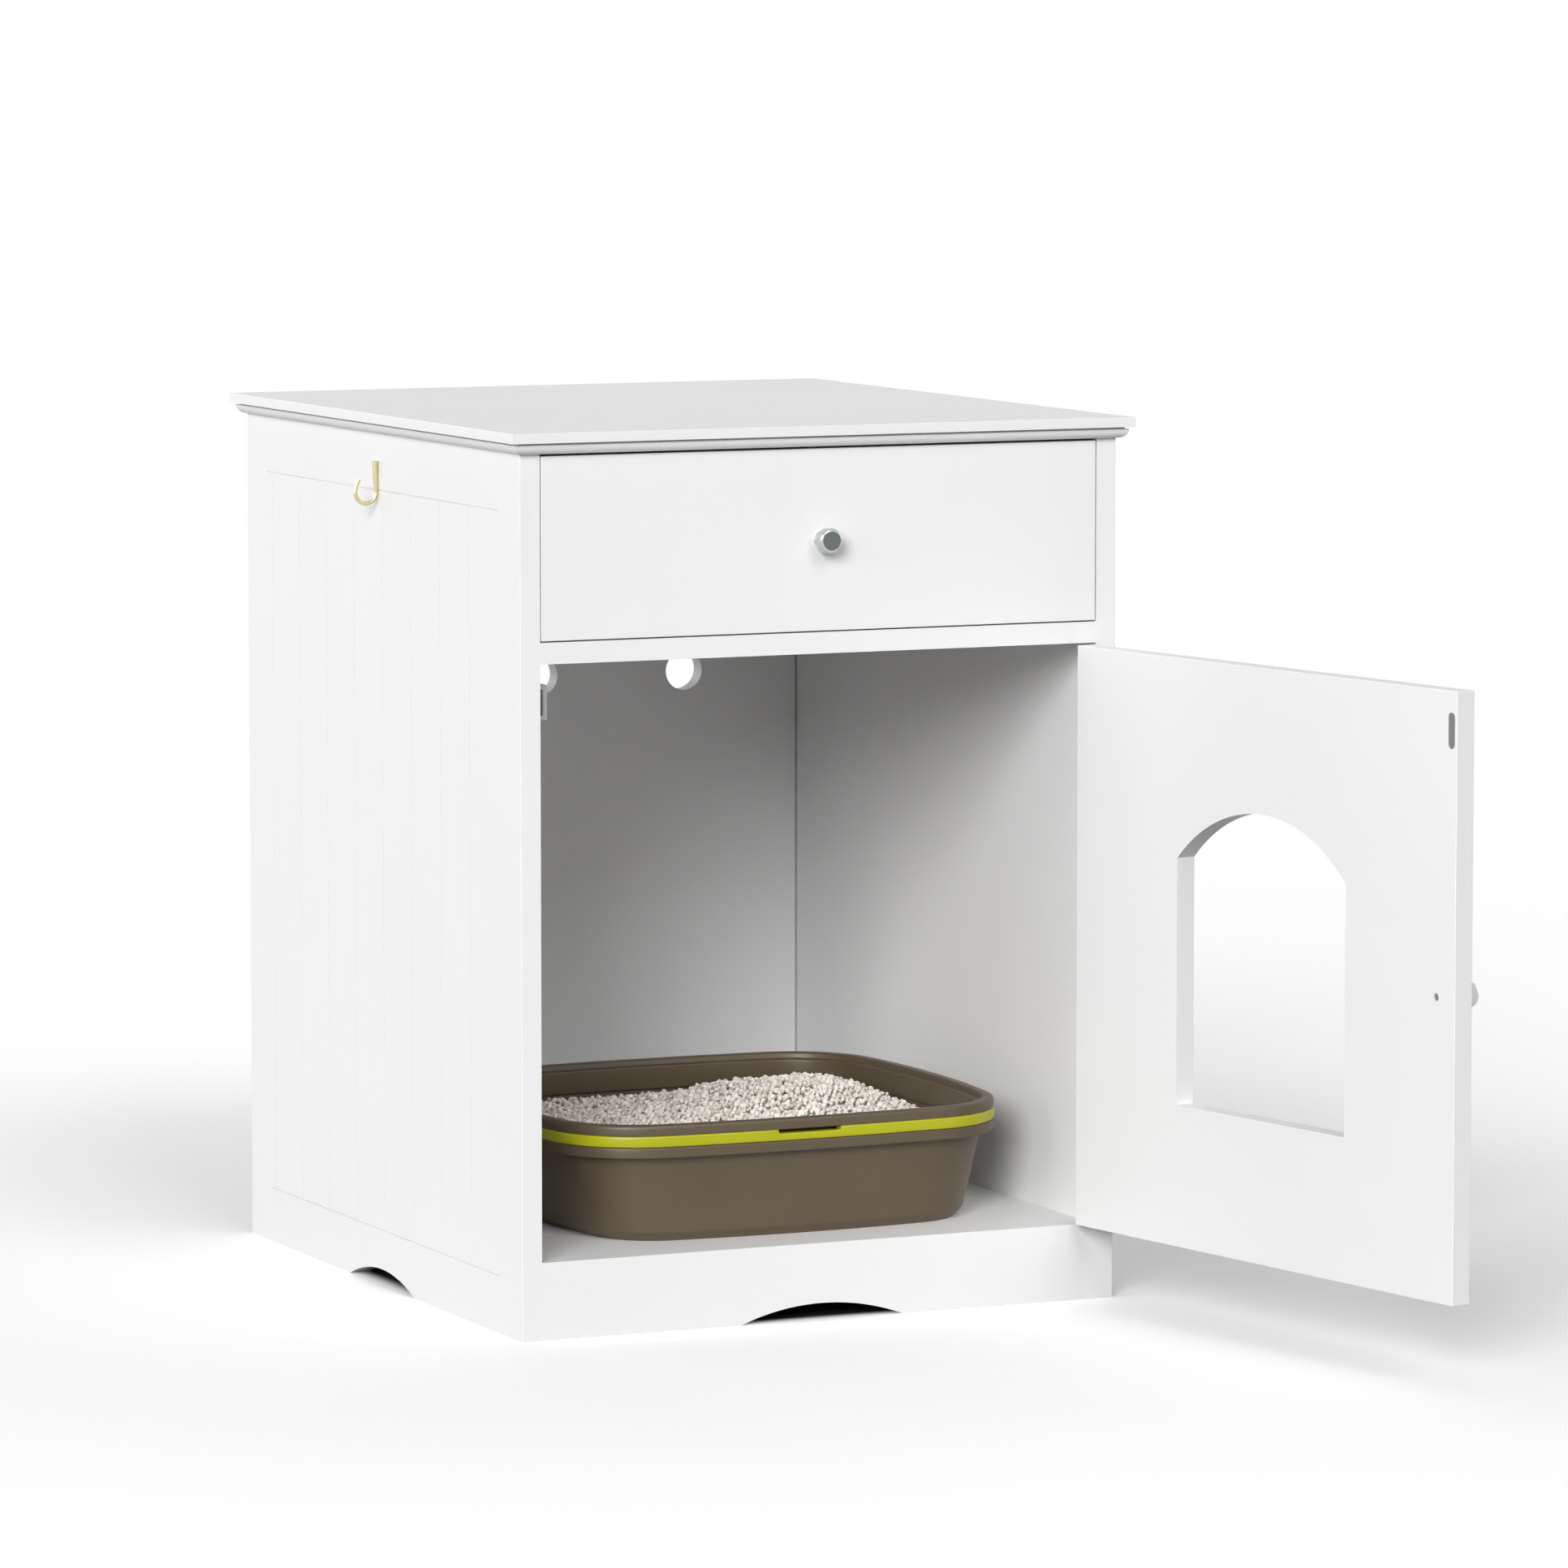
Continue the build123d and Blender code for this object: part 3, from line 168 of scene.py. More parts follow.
hardboard, tree, shader = start_material("white-faced hardboard", Roughness=0.6)
place = add_node(tree, "ShaderNodeTexCoord").outputs["Object"]
fibres = {"Vector": place, "Scale": per_size(FIBRE_MM), "Detail": 6.0}
fibre = add_node(tree, "ShaderNodeTexNoise", fibres)
tint = add_node(tree, "ShaderNodeMix", {"Factor": fibre.outputs["Fac"]}, data_type="RGBA")
tint.inputs["A"].default_value = colour(HARDBOARD_WHITE)
tint.inputs["B"].default_value = colour(HARDBOARD_SHADE)
tree.links.new(tint.outputs["Result"], shader.inputs["Base Color"])
materials["hardboard"] = hardboard
print("made", hardboard.name)

# %% [markdown]
# Metals take their colour from the reflection, so each one is a metallic shader with its own roughness.
# Chrome plate is nearly a mirror, brass is warmer and a little softer, zinc plate on steel is grey and
# cloudy, and cast zinc is duller still. A noise of a few millimetres moves the roughness, as handling
# and plating do. Four cells could make them one by one, but one loop over a table of what differs
# shows them side by side.

# %% Chrome, brass and zinc
# Each row holds the name, the bright and the dull tone, the least and the most roughness, and the
# size of the clouds in millimetres.
METALS = {
    "chrome": ("polished chrome plate", "#c6c8c9", "#bcbfc0", 0.05, 0.1, 6.0),
    "brass": ("pale polished brass", "#ded6aa", "#cfc595", 0.22, 0.32, 4.0),
    "plain_steel": ("zinc plated steel", "#95989a", "#86898b", 0.3, 0.5, 5.0),
    "cast_zinc": ("cast zinc", "#a5a7a8", "#919394", 0.45, 0.6, 2.0),
}
for slot, (name, bright, dull, smooth, rough, cloud_mm) in METALS.items():
    metal, tree, shader = start_material(name, Metallic=1.0)
    place = add_node(tree, "ShaderNodeTexCoord").outputs["Object"]
    clouds = {"Vector": place, "Scale": per_size(cloud_mm), "Detail": 3.0}
    cloud = add_node(tree, "ShaderNodeTexNoise", clouds)
    tint = add_node(tree, "ShaderNodeMix", {"Factor": cloud.outputs["Fac"]}, data_type="RGBA")
    tint.inputs["A"].default_value = colour(bright)
    tint.inputs["B"].default_value = colour(dull)
    tree.links.new(tint.outputs["Result"], shader.inputs["Base Color"])
    spread = add_node(
        tree, "ShaderNodeMapRange", {"Value": cloud.outputs["Fac"], "To Min": smooth, "To Max": rough}
    )
    tree.links.new(spread.outputs["Result"], shader.inputs["Roughness"])
    materials[slot] = metal
    print("made", metal.name)

# %% [markdown]
# Plastics are moulded, so they copy the tool's surface: spark-eroded tools leave a fine even grain,
# which breaks up the highlight. The grain of the real parts is about 0.3 mm, and it is drawn at 1.2 mm
# so that it shows. Each plastic also drifts a little in tone. The enamelled runners and the ferrite
# magnet could have cells of their own, but they differ from a plastic only in colour, gloss and grain,
# so the same loop serves them.

# %% Moulded plastics, enamel and ferrite
# Each row holds the name, the main tone and the tone it drifts to, the roughness, the size of the
# grain in millimetres and how strongly the grain shows.
MOULDED = {
    "grey_plastic": ("moulded grey ABS", "#c9cdcb", "#bec2c0", 0.45, 1.2, 0.15),
    "nylon": ("natural nylon", "#e9e8e2", "#dcdad2", 0.4, 1.2, 0.1),
    "taupe_plastic": ("moulded taupe polypropylene", "#5b4f3b", "#534734", 0.4, 1.2, 0.12),
    "lime_plastic": ("glossy lime polypropylene", "#b2b403", "#a9ab02", 0.32, 2.0, 0.05),
    "white_enamel_steel": ("white enamelled steel", "#ebebe7", "#e4e4df", 0.35, 3.0, 0.08),
    "ferrite": ("bare ferrite", "#3c3c3d", "#2f2f30", 0.7, 0.8, 0.3),
}
GRAIN_DEPTH_MM = 0.15
DRIFT_MM = 60.0
for slot, (name, main, drift, rough, grain_mm, strength) in MOULDED.items():
    plastic, tree, shader = start_material(name, Roughness=rough, IOR=1.5)
    place = add_node(tree, "ShaderNodeTexCoord").outputs["Object"]
    patches = {"Vector": place, "Scale": per_size(DRIFT_MM), "Detail": 3.0}
    patch = add_node(tree, "ShaderNodeTexNoise", patches)
    tint = add_node(tree, "ShaderNodeMix", {"Factor": patch.outputs["Fac"]}, data_type="RGBA")
    tint.inputs["A"].default_value = colour(main)
    tint.inputs["B"].default_value = colour(drift)
    tree.links.new(tint.outputs["Result"], shader.inputs["Base Color"])
    grains = {"Vector": place, "Scale": per_size(grain_mm), "Detail": 2.0}
    grain = add_node(tree, "ShaderNodeTexNoise", grains)
    bump = add_node(
        tree,
        "ShaderNodeBump",
        {"Height": grain.outputs["Fac"], "Strength": strength, "Distance": GRAIN_DEPTH_MM * MM},
    )
    tree.links.new(bump.outputs["Normal"], shader.inputs["Normal"])
    materials[slot] = plastic
    print("made", plastic.name)

# %% [markdown]
# Dowels are turned from beech, a pale pinkish wood with short dark flecks along the grain.
# A wave texture gives year rings, which a thin dowel doesn't show. A noise that is stretched along one
# axis gives the flecks.

# %% Bare beech
BEECH_PALE = "#d9b98f"
BEECH_FLECK = "#c39c70"
FLECK_MM = 0.8
FLECK_LENGTHS = 6.0
FLECK_STRETCH = (1.0, FLECK_LENGTHS, FLECK_LENGTHS)

beech, tree, shader = start_material("bare beech", Roughness=0.65)
place = add_node(tree, "ShaderNodeTexCoord").outputs["Object"]
along = add_node(tree, "ShaderNodeMapping", {"Vector": place, "Scale": FLECK_STRETCH})
fleck = add_node(
    tree,
    "ShaderNodeTexNoise",
    {"Vector": along.outputs["Vector"], "Scale": per_size(FLECK_LENGTHS * FLECK_MM), "Detail": 4.0},
)
tint = add_node(tree, "ShaderNodeMix", {"Factor": fleck.outputs["Fac"]}, data_type="RGBA")
tint.inputs["A"].default_value = colour(BEECH_PALE)
tint.inputs["B"].default_value = colour(BEECH_FLECK)
tree.links.new(tint.outputs["Result"], shader.inputs["Base Color"])
materials["beech"] = beech
print("made", beech.name)

# %% [markdown]
# Litter is dried clay, crushed and sieved: every grain is a slightly different pale grey-beige, matte
# and chalky. A cell pattern could colour the heap, but its cells would cut across the grains. The
# grains are separate islands of one mesh, so the shader can ask for a random number for each island
# and give each grain its own tone. The bed under the grains is painted darker than they are, as
# painted shade for the shadow between them, so it has a finish of its own.

# %% Clay litter
CLAY_DARK, CLAY_MIDDLE, CLAY_PALE = "#cfc4b9", "#ece3da", "#faf5f0"
CHALK_MM = 0.8
CHALK_DEPTH_MM = 0.3
# Painted shade: the bed between the grains is coloured darker than the grains, for their shadow.
BED_PAINTED_SHADE_DARK, BED_PAINTED_SHADE_PALE = "#978b81", "#bdb1a5"
SPECK_MM = 3.0

clay, tree, shader = start_material("crushed clay granules", Roughness=0.92)
island = add_node(tree, "ShaderNodeNewGeometry").outputs["Random Per Island"]
tones = add_node(tree, "ShaderNodeValToRGB", {"Fac": island})
tones.color_ramp.elements[0].color = colour(CLAY_DARK)
tones.color_ramp.elements[1].color = colour(CLAY_PALE)
middle = tones.color_ramp.elements.new(0.5)
middle.color = colour(CLAY_MIDDLE)
tree.links.new(tones.outputs["Color"], shader.inputs["Base Color"])
place = add_node(tree, "ShaderNodeTexCoord").outputs["Object"]
chalk_grit = {"Vector": place, "Scale": per_size(CHALK_MM), "Detail": 3.0}
chalk = add_node(tree, "ShaderNodeTexNoise", chalk_grit)
bump = add_node(
    tree,
    "ShaderNodeBump",
    {"Height": chalk.outputs["Fac"], "Strength": 0.5, "Distance": CHALK_DEPTH_MM * MM},
)
tree.links.new(bump.outputs["Normal"], shader.inputs["Normal"])
materials["litter_granules"] = clay
print("made", clay.name)

# The bed's finish is painted shade: darker clay for the shadow between the grains, its tone varied at
# random by specks.
painted_shade_bed, tree, shader = start_material("clay bed with painted shade between the granules", Roughness=0.95)
place = add_node(tree, "ShaderNodeTexCoord").outputs["Object"]
specks = {"Vector": place, "Scale": per_size(SPECK_MM), "Detail": 4.0}
speck = add_node(tree, "ShaderNodeTexNoise", specks)
tint = add_node(tree, "ShaderNodeMix", {"Factor": speck.outputs["Fac"]}, data_type="RGBA")
tint.inputs["A"].default_value = colour(BED_PAINTED_SHADE_DARK)
tint.inputs["B"].default_value = colour(BED_PAINTED_SHADE_PALE)
tree.links.new(tint.outputs["Result"], shader.inputs["Base Color"])
print("made", painted_shade_bed.name)

# %% [markdown]
# Every CAD node gets the finish of its slot in the record. The finishes could be handed out by name,
# one line for each node, but the record already says what each one is made of. The node's mesh isn't
# touched: only the material in its slots is changed.

# %% Dress the CAD nodes
slot_of = {entry["node"]: entry["material_slot"] for entry in frame["record"]["subparts"]}
for name, node in nodes.items():
    for material_slot in node.material_slots:
        material_slot.material = materials[slot_of[name]]
print("dressed", len(nodes), "nodes in", len(materials), "finishes")

# %% [markdown]
# The tray's outline is shared by the pan, the band and the rim.
# It is a rectangle whose four sides bulge a little and whose corners are large arcs. A subdivided box
# would come near it, but its corners would swell where they should be arcs. So a quarter of the
# outline is drawn from a front arc, a corner arc and an end arc, and mirrored. An inset draws it in, so
# one function gives every loop that the moulded pieces need. Lengths are in millimetres here, from the
# middle of the tray's base. Two of the shares along the front stand close together: they are the ends
# of the notch in the band.

# %% Tray outline
TRAY_PLACE_MM = Vector((5.0, -69.0, 55.0))
TRAY_LENGTH = 358.0
TRAY_WIDTH = 330.0
FRONT_BOW = 10.0
END_BOW = 16.0
TRAY_CORNER = 70.0
NOTCH_SHARE = 0.22
NOTCH_END_SHARE = 0.227
FRONT_SHARES = (0.0, 0.08, 0.16, NOTCH_SHARE, NOTCH_END_SHARE, 0.32, 0.45, 0.6, 0.75, 0.88)
CORNER_STEPS = 12
END_STEPS = 8


def arc_points(centre, radius, start, end, shares):
    """Points on an arc between two angles, at the given shares of the way."""
    angles = [start + (end - start) * share for share in shares]
    return [centre + Vector((math.cos(angle), math.sin(angle))) * radius for angle in angles]


def tray_outline(inset_x, inset_y, corner):
    """One loop round the tray, from the middle of its front, to the right and round."""
    end, side = TRAY_LENGTH / 2 - inset_x, TRAY_WIDTH / 2 - inset_y
    corner_x, corner_y = end - END_BOW, side - FRONT_BOW
    front_radius = (corner_x**2 + FRONT_BOW**2) / (2 * FRONT_BOW)
    end_radius = (corner_y**2 + END_BOW**2) / (2 * END_BOW)
    front_centre = Vector((0.0, front_radius - side))
    end_centre = Vector((end - end_radius, 0.0))
    meets = geometry.intersect_sphere_sphere_2d(
        front_centre, front_radius - corner, end_centre, end_radius - corner
    )
    corner_centre = max(meets, key=lambda point: point.x - point.y)
    to_front, to_end = corner_centre - front_centre, corner_centre - end_centre
    front_angle = math.atan2(to_front.y, to_front.x)
    end_angle = math.atan2(to_end.y, to_end.x)
    corner_shares = [step / CORNER_STEPS for step in range(CORNER_STEPS)]
    end_shares = [step / END_STEPS for step in range(END_STEPS + 1)]
    quarter = arc_points(front_centre, front_radius, -math.pi / 2, front_angle, FRONT_SHARES)
    quarter += arc_points(corner_centre, corner, front_angle, end_angle, corner_shares)
    quarter += arc_points(end_centre, end_radius, end_angle, 0.0, end_shares)
    half = quarter + [Vector((point.x, -point.y)) for point in reversed(quarter[:-1])]
    return half + [Vector((-point.x, point.y)) for point in reversed(half[1:-1])]


outline_size = len(tray_outline(0.0, 0.0, TRAY_CORNER))
print("tray outline has", outline_size, "points")

# %% [markdown]
# A moulded piece is a profile carried round that outline. A curve with a bevel object could carry it,
# but the pan's wall leans, so each height needs an outline of its own.
# The profile is a list of corners, each with a radius, because a moulding has no sharp edge anywhere.
# One function rounds the corners, one places the loops of points, and one joins the loops into a
# mesh. Edges that still turn sharply are marked sharp, so that flat faces shade flat.

# %% Rounded profiles and lofted rings
ROUND_STEPS = 4
SHARP_ANGLE = math.radians(40)
PAN_HEIGHT = 62.0
PAN_LIP = 7.5
PAN_BASE_INSET = (25.0, 12.0)
PAN_CORNER_TRIM = 8.0


def round_profile(corners):
    """Points of a closed profile whose corners (across, up, radius) are rounded."""
    points = []
    for index, (across, up, radius) in enumerate(corners):
        here = Vector((across, up))
        before = Vector(corners[index - 1][:2]) - here
        after = Vector(corners[(index + 1) % len(corners)][:2]) - here
        if radius == 0.0:
            points.append(here)
            continue
        start, end = here + before.normalized() * radius, here + after.normalized() * radius
        for step in range(ROUND_STEPS + 1):
            share = step / ROUND_STEPS
            points.append(start.lerp(here, share).lerp(here.lerp(end, share), share))
    return points


def tray_loop(across, up):
    """The loop of points at a height whose distance in from the pan's wall line is across."""
    low_share = max(0.0, 1.0 - up / PAN_HEIGHT)
    inset_x, inset_y = (PAN_LIP + (base - PAN_LIP) * low_share + across for base in PAN_BASE_INSET)
    corner = TRAY_CORNER - PAN_LIP - PAN_CORNER_TRIM * low_share - across
    return [Vector((point.x, point.y, up)) for point in tray_outline(inset_x, inset_y, corner)]


def make_piece(name, points, faces, slot, body):
    """A mesh piece from points in millimetres, shaded smooth, with its finish and its body."""
    mesh = bpy.data.meshes.new(name)
    mesh.from_pydata([(point + TRAY_PLACE_MM) * MM for point in points], [], faces)
    mesh.validate()
    mesh.shade_smooth()
    mesh.set_sharp_from_angle(angle=SHARP_ANGLE)
    mesh.materials.append(materials[slot])
    piece = bpy.data.objects.new(name, mesh)
    bpy.context.collection.objects.link(piece)
    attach(piece, body)
    print("made", name, "with", len(mesh.polygons), "faces")
    return piece


def loft_faces(loop_count, loop_size, closed):
    """Quads between neighbouring loops; a closed profile joins the last loop to the first."""
    faces = []
    for loop in range(loop_count if closed else loop_count - 1):
        low, high = loop * loop_size, (loop + 1) % loop_count * loop_size
        for index in range(loop_size):
            following = (index + 1) % loop_size
            faces.append((low + index, low + following, high + following, high + index))
    return faces


print("profile tools ready")

# %% [markdown]
# The pan is one injection moulding with a 2.5 mm wall: a chamfered foot, a wall that leans out so
# that the pan leaves its tool, and a lip that turns over and down. Its profile starts under the foot,
# runs up the outside, over the lip and down the inside to the floor. The two flat faces that are left,
# under the foot and on the floor, are closed with one face each. A solidify modifier could give the
# wall its thickness, but not the lip and the foot, which differ inside and outside. A hair's step
# beside each flat face keeps its edge crisp.

# %% Litter pan
WALL = 2.5
LIP_TOP = 69.7
FOOT_INSET = 5.0
FOOT_HEIGHT = 6.0
FLOOR_INSET = 7.5
INNER_FOOT = 8.5
HAIR = 0.01
pan_profile = round_profile(
    [
        (FOOT_INSET, 0.0, 0.0),
        (FOOT_INSET, HAIR, 0.0),
        (0.0, FOOT_HEIGHT, 2.0),
        (0.0, LIP_TOP - WALL, 1.0),
        (WALL - PAN_LIP, LIP_TOP - WALL, 1.0),
        (WALL - PAN_LIP, PAN_HEIGHT, 0.8),
        (-PAN_LIP, PAN_HEIGHT, 0.8),
        (-PAN_LIP, LIP_TOP, 1.4),
        (WALL, LIP_TOP, 1.0),
        (WALL, INNER_FOOT, 3.0),
        (FLOOR_INSET, WALL + HAIR, 0.0),
        (FLOOR_INSET, WALL, 0.0),
    ]
)
pan_points = [point for across, up in pan_profile for point in tray_loop(across, up)]
pan_faces = loft_faces(len(pan_profile), outline_size, closed=False)
pan_faces.append(tuple(reversed(range(outline_size))))
pan_faces.append(tuple(range(len(pan_points) - outline_size, len(pan_points))))
pan = make_piece("moulded_pan", pan_points, pan_faces, "taupe_plastic", "tray")
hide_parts("litter_pan")

# %% [markdown]
# The lime band is a separate ring that sits on the pan's lip, with softly rounded faces.
# A shallow notch at the front lets a fingernail in under the rim. It could be cut with a boolean, but
# the outline already has two columns of points at each end of the notch, so the notch is made by
# lowering the top of the band between them.

# %% Lime band
BAND_TOP = 77.9
BAND_PROUD = 0.5
NOTCH_DEPTH = 2.8
band_profile = round_profile(
    [
        (-PAN_LIP - BAND_PROUD, LIP_TOP, 1.6),
        (-PAN_LIP - BAND_PROUD, BAND_TOP, 1.6),
        (BAND_PROUD, BAND_TOP, 1.0),
        (BAND_PROUD, LIP_TOP, 1.0),
    ]
)
band_points = [point for across, up in band_profile for point in tray_loop(across, up)]
band_middle = (LIP_TOP + BAND_TOP) / 2
notch_columns = FRONT_SHARES.index(NOTCH_SHARE)
for index, point in enumerate(band_points):
    column = index % outline_size
    if min(column, outline_size - column) <= notch_columns and point.z > band_middle:
        point.z -= NOTCH_DEPTH
band_faces = loft_faces(len(band_profile), outline_size, closed=True)
band = make_piece("lime_band_ring", band_points, band_faces, "lime_plastic", "tray_cover")
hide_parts("tray_band")

# %% [markdown]
# The rim lies on the band and keeps the litter in.
# Its top rolls over from the outer face, and just inside it steps in to a skirt that hangs down in the
# pan. The round edge of that step is what catches the light as a fine line round the opening. A bevel
# modifier could round the edges, but it would round them all alike, so each corner has its radius here.

# %% Tray rim
RIM_TOP = 85.6
STEP_DROP = 4.2
SKIRT_LOW = 63.7
SKIRT_OUTER = 3.2
SKIRT_INNER = 5.2
rim_profile = round_profile(
    [
        (-PAN_LIP, BAND_TOP, 0.6),
        (-PAN_LIP, RIM_TOP, 2.6),
        (0.4, RIM_TOP, 1.6),
        (1.2, RIM_TOP - STEP_DROP, 0.4),
        (SKIRT_INNER, RIM_TOP - STEP_DROP - 0.6, 1.2),
        (SKIRT_INNER, SKIRT_LOW, 0.8),
        (SKIRT_OUTER, SKIRT_LOW, 0.8),
        (SKIRT_OUTER, BAND_TOP, 0.3),
    ]
)
rim_points = [point for across, up in rim_profile for point in tray_loop(across, up)]
rim_faces = loft_faces(len(rim_profile), outline_size, closed=True)
rim = make_piece("rolled_rim", rim_points, rim_faces, "taupe_plastic", "tray_cover")
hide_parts("tray_rim")

# %% [markdown]
# The litter is poured, so it lies in a low heap: fullest towards the back right, and falling away at
# the right-hand end. A height function in millimetres describes the heap. A pile of falling grains could
# be simulated, but a function can be fitted to the heap's outline and runs at once. The bed below the
# grains is a closed mesh that follows the heap, the rim's skirt and the pan's inner wall, and it shows
# only between the grains.

# %% Litter bed
LITTER_LEVEL = 59.5
LITTER_GAP = 0.4
LITTER_EDGE = SKIRT_INNER + LITTER_GAP
LITTER_SHOULDER = 46.0
SHOULDER_DROP = 2.0
BED_FOOT = 9.0
BED_RINGS = 24
BED_SINK = 2.8
CREST_HEIGHT = 15.5
CREST_PLACE = (105.0, 70.0)
CREST_REACH = (75.0, 85.0)
FALL_DEPTH = 6.0
FALL_START = 130.0
FALL_REACH = 40.0
ROLL_HEIGHT, ROLL_REACH, ROLL_LAYER = 1.6, 45.0, 3.1
GRIT_HEIGHT, GRIT_REACH, GRIT_LAYER = 0.6, 4.0, 7.7


def heap_height(across, back):
    """Height of the heap above the pan's base, at a place in millimetres from the middle."""
    offsets = (across - CREST_PLACE[0]) / CREST_REACH[0], (back - CREST_PLACE[1]) / CREST_REACH[1]
    crest = CREST_HEIGHT * math.exp(-(offsets[0] ** 2 + offsets[1] ** 2))
    fall = FALL_DEPTH * min(1.0, max(0.0, (across - FALL_START) / FALL_REACH)) ** 1.5
    roll = ROLL_HEIGHT * noise.noise(Vector((across / ROLL_REACH, back / ROLL_REACH, ROLL_LAYER)))
    return LITTER_LEVEL + crest - fall + roll


bed_points = []
for ring in range(1, BED_RINGS + 1):
    share = ring / BED_RINGS
    for edge in tray_loop(LITTER_EDGE, LITTER_LEVEL):
        across, back = edge.x * share, edge.y * share
        grit = GRIT_HEIGHT * noise.noise(Vector((across / GRIT_REACH, back / GRIT_REACH, GRIT_LAYER)))
        bed_points.append(Vector((across, back, heap_height(across, back) - BED_SINK + grit)))
bed_sides = (
    (LITTER_EDGE, LITTER_SHOULDER),
    (WALL + LITTER_GAP, LITTER_SHOULDER - SHOULDER_DROP),
    (WALL + LITTER_GAP, BED_FOOT),
    (FLOOR_INSET + LITTER_GAP, WALL + LITTER_GAP),
)
for across, up in bed_sides:
    bed_points += tray_loop(across, up)
bed_quads = loft_faces(BED_RINGS + len(bed_sides), outline_size, closed=False)
bed_faces = [tuple(reversed(face)) for face in bed_quads]
bed_faces.append(tuple(range(outline_size)))
bed_faces.append(tuple(reversed(range(len(bed_points) - outline_size, len(bed_points)))))
bed = make_piece("litter_bed", bed_points, bed_faces, "litter_granules", "tray")
# The bed takes the darker clay, as painted shade between the grains.
bed.data.materials[0] = painted_shade_bed

# %% [markdown]
# The grains themselves are small broken lumps, mostly 3 to 5 mm across.
# A particle system could scatter copies of one lump, but then every grain would have the same shape.
# Each one starts as an icosahedron, is pushed out of shape by random amounts, stretched and turned,
# and laid on the heap. A jittered hexagonal grid spreads them evenly without rows showing, and a
# seeded generator makes the same heap on every run.

# %% The shape of a lump
GOLDEN = (1 + math.sqrt(5)) / 2
LUMP_CORNERS = [
    Vector(corner).normalized()
    for sign in (-1, 1)
    for other in (-GOLDEN, GOLDEN)
    for corner in ((0, sign, other), (sign, other, 0), (other, 0, sign))
]
edge_length = min((a - b).length for a in LUMP_CORNERS for b in LUMP_CORNERS if a != b) * 1.01
LUMP_FACES = []
for a, b, c in itertools.combinations(range(len(LUMP_CORNERS)), 3):
    trio = [LUMP_CORNERS[index] for index in (a, b, c)]
    if all((trio[i] - trio[i - 1]).length < edge_length for i in range(3)):
        outward = (trio[1] - trio[0]).cross(trio[2] - trio[0]).dot(trio[0]) > 0
        LUMP_FACES.append((a, b, c) if outward else (a, c, b))
print("a lump has", len(LUMP_CORNERS), "corners and", len(LUMP_FACES), "faces")

# %% Litter grains
GRAIN_PITCH = 4.5
ROW_PITCH = GRAIN_PITCH * math.sqrt(3) / 2
GRAIN_RADIUS = (1.5, 2.7)
GRAIN_JITTER = (-1.0, 1.0)
GRAIN_LIFT = (-2.0, 1.8)
GRAIN_STRETCH = (0.75, 1.2)
GRAIN_BULGE = (0.82, 1.15)
GRAIN_SEED = 20

dice = random.Random(GRAIN_SEED)
edge_loop = [point.to_2d() for point in tray_loop(LITTER_EDGE + GRAIN_RADIUS[1], LITTER_LEVEL)]


def inside_loop(spot, loop):
    """True if a spot lies inside a closed loop of points."""
    inside = False
    for index, here in enumerate(loop):
        before = loop[index - 1]
        if (here.y > spot.y) != (before.y > spot.y):
            crossing = (before.x - here.x) * (spot.y - here.y) / (before.y - here.y) + here.x
            inside ^= spot.x < crossing
    return inside


grain_points, grain_faces = [], []
rows = int(TRAY_WIDTH / ROW_PITCH)
columns = int(TRAY_LENGTH / GRAIN_PITCH)
for row in range(rows):
    for column in range(columns):
        across = (column + row % 2 / 2) * GRAIN_PITCH - TRAY_LENGTH / 2 + dice.uniform(*GRAIN_JITTER)
        back = row * ROW_PITCH - TRAY_WIDTH / 2 + dice.uniform(*GRAIN_JITTER)
        spot = Vector((across, back))
        radius = dice.uniform(*GRAIN_RADIUS)
        lift = dice.uniform(*GRAIN_LIFT)
        turn = Euler([dice.uniform(0, math.tau) for axis in range(3)])
        stretch = Vector([dice.uniform(*GRAIN_STRETCH) for axis in range(3)])
        bulges = [dice.uniform(*GRAIN_BULGE) for corner in LUMP_CORNERS]
        if not inside_loop(spot, edge_loop):
            continue
        middle = Vector((spot.x, spot.y, heap_height(spot.x, spot.y) + lift))
        first = len(grain_points)
        for corner, bulge in zip(LUMP_CORNERS, bulges):
            lump = corner * bulge * radius * stretch
            lump.rotate(turn)
            grain_points.append(middle + lump)
        grain_faces += [tuple(first + index for index in face) for face in LUMP_FACES]
grains = make_piece("litter_grains", grain_points, grain_faces, "litter_granules", "tray")
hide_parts("litter")
print("poured", len(grain_points) // len(LUMP_CORNERS), "grains")

# %% [markdown]
# The studio is a white floor that runs out of sight, in a white room. A curved backdrop would do as
# To the camera and in reflections floor and room show as plain white, while other rays see them at
# their own level, so the cabinet isn't flooded from below. Only a share of the floor's white is glow:
# the rest is light that falls on it, which is why the cabinet's shadow stays. The glow is weaker near
# the cabinet, as painted shade round its foot. Under it the floor fades within two centimetres to a
# painted dark grey with no glow, as painted shade, so that the foot arches look into the dark.

# %% Floor and world
FLOOR_REACH = 40.0
FLOOR_SEEN = "#f0f0f0"
FLOOR_BOUNCE = "#808080"
# Painted shade: the floor under the cabinet is painted this dark grey and has no glow.
FLOOR_PAINTED_SHADE = "#3c3c3c"
FLOOR_GLOW = 0.42
# Painted shade round the cabinet: near it the floor's glow drops to this level.
PAINTED_SHADE_GLOW = 0.22
PAINTED_SHADE_REACH = (0.25, 1.3)
PAINTED_SHADE_HALF = (0.23, 0.265, 0.0)
PAINTED_SHADE_FADE = 0.018
WORLD_LEVEL = 0.08


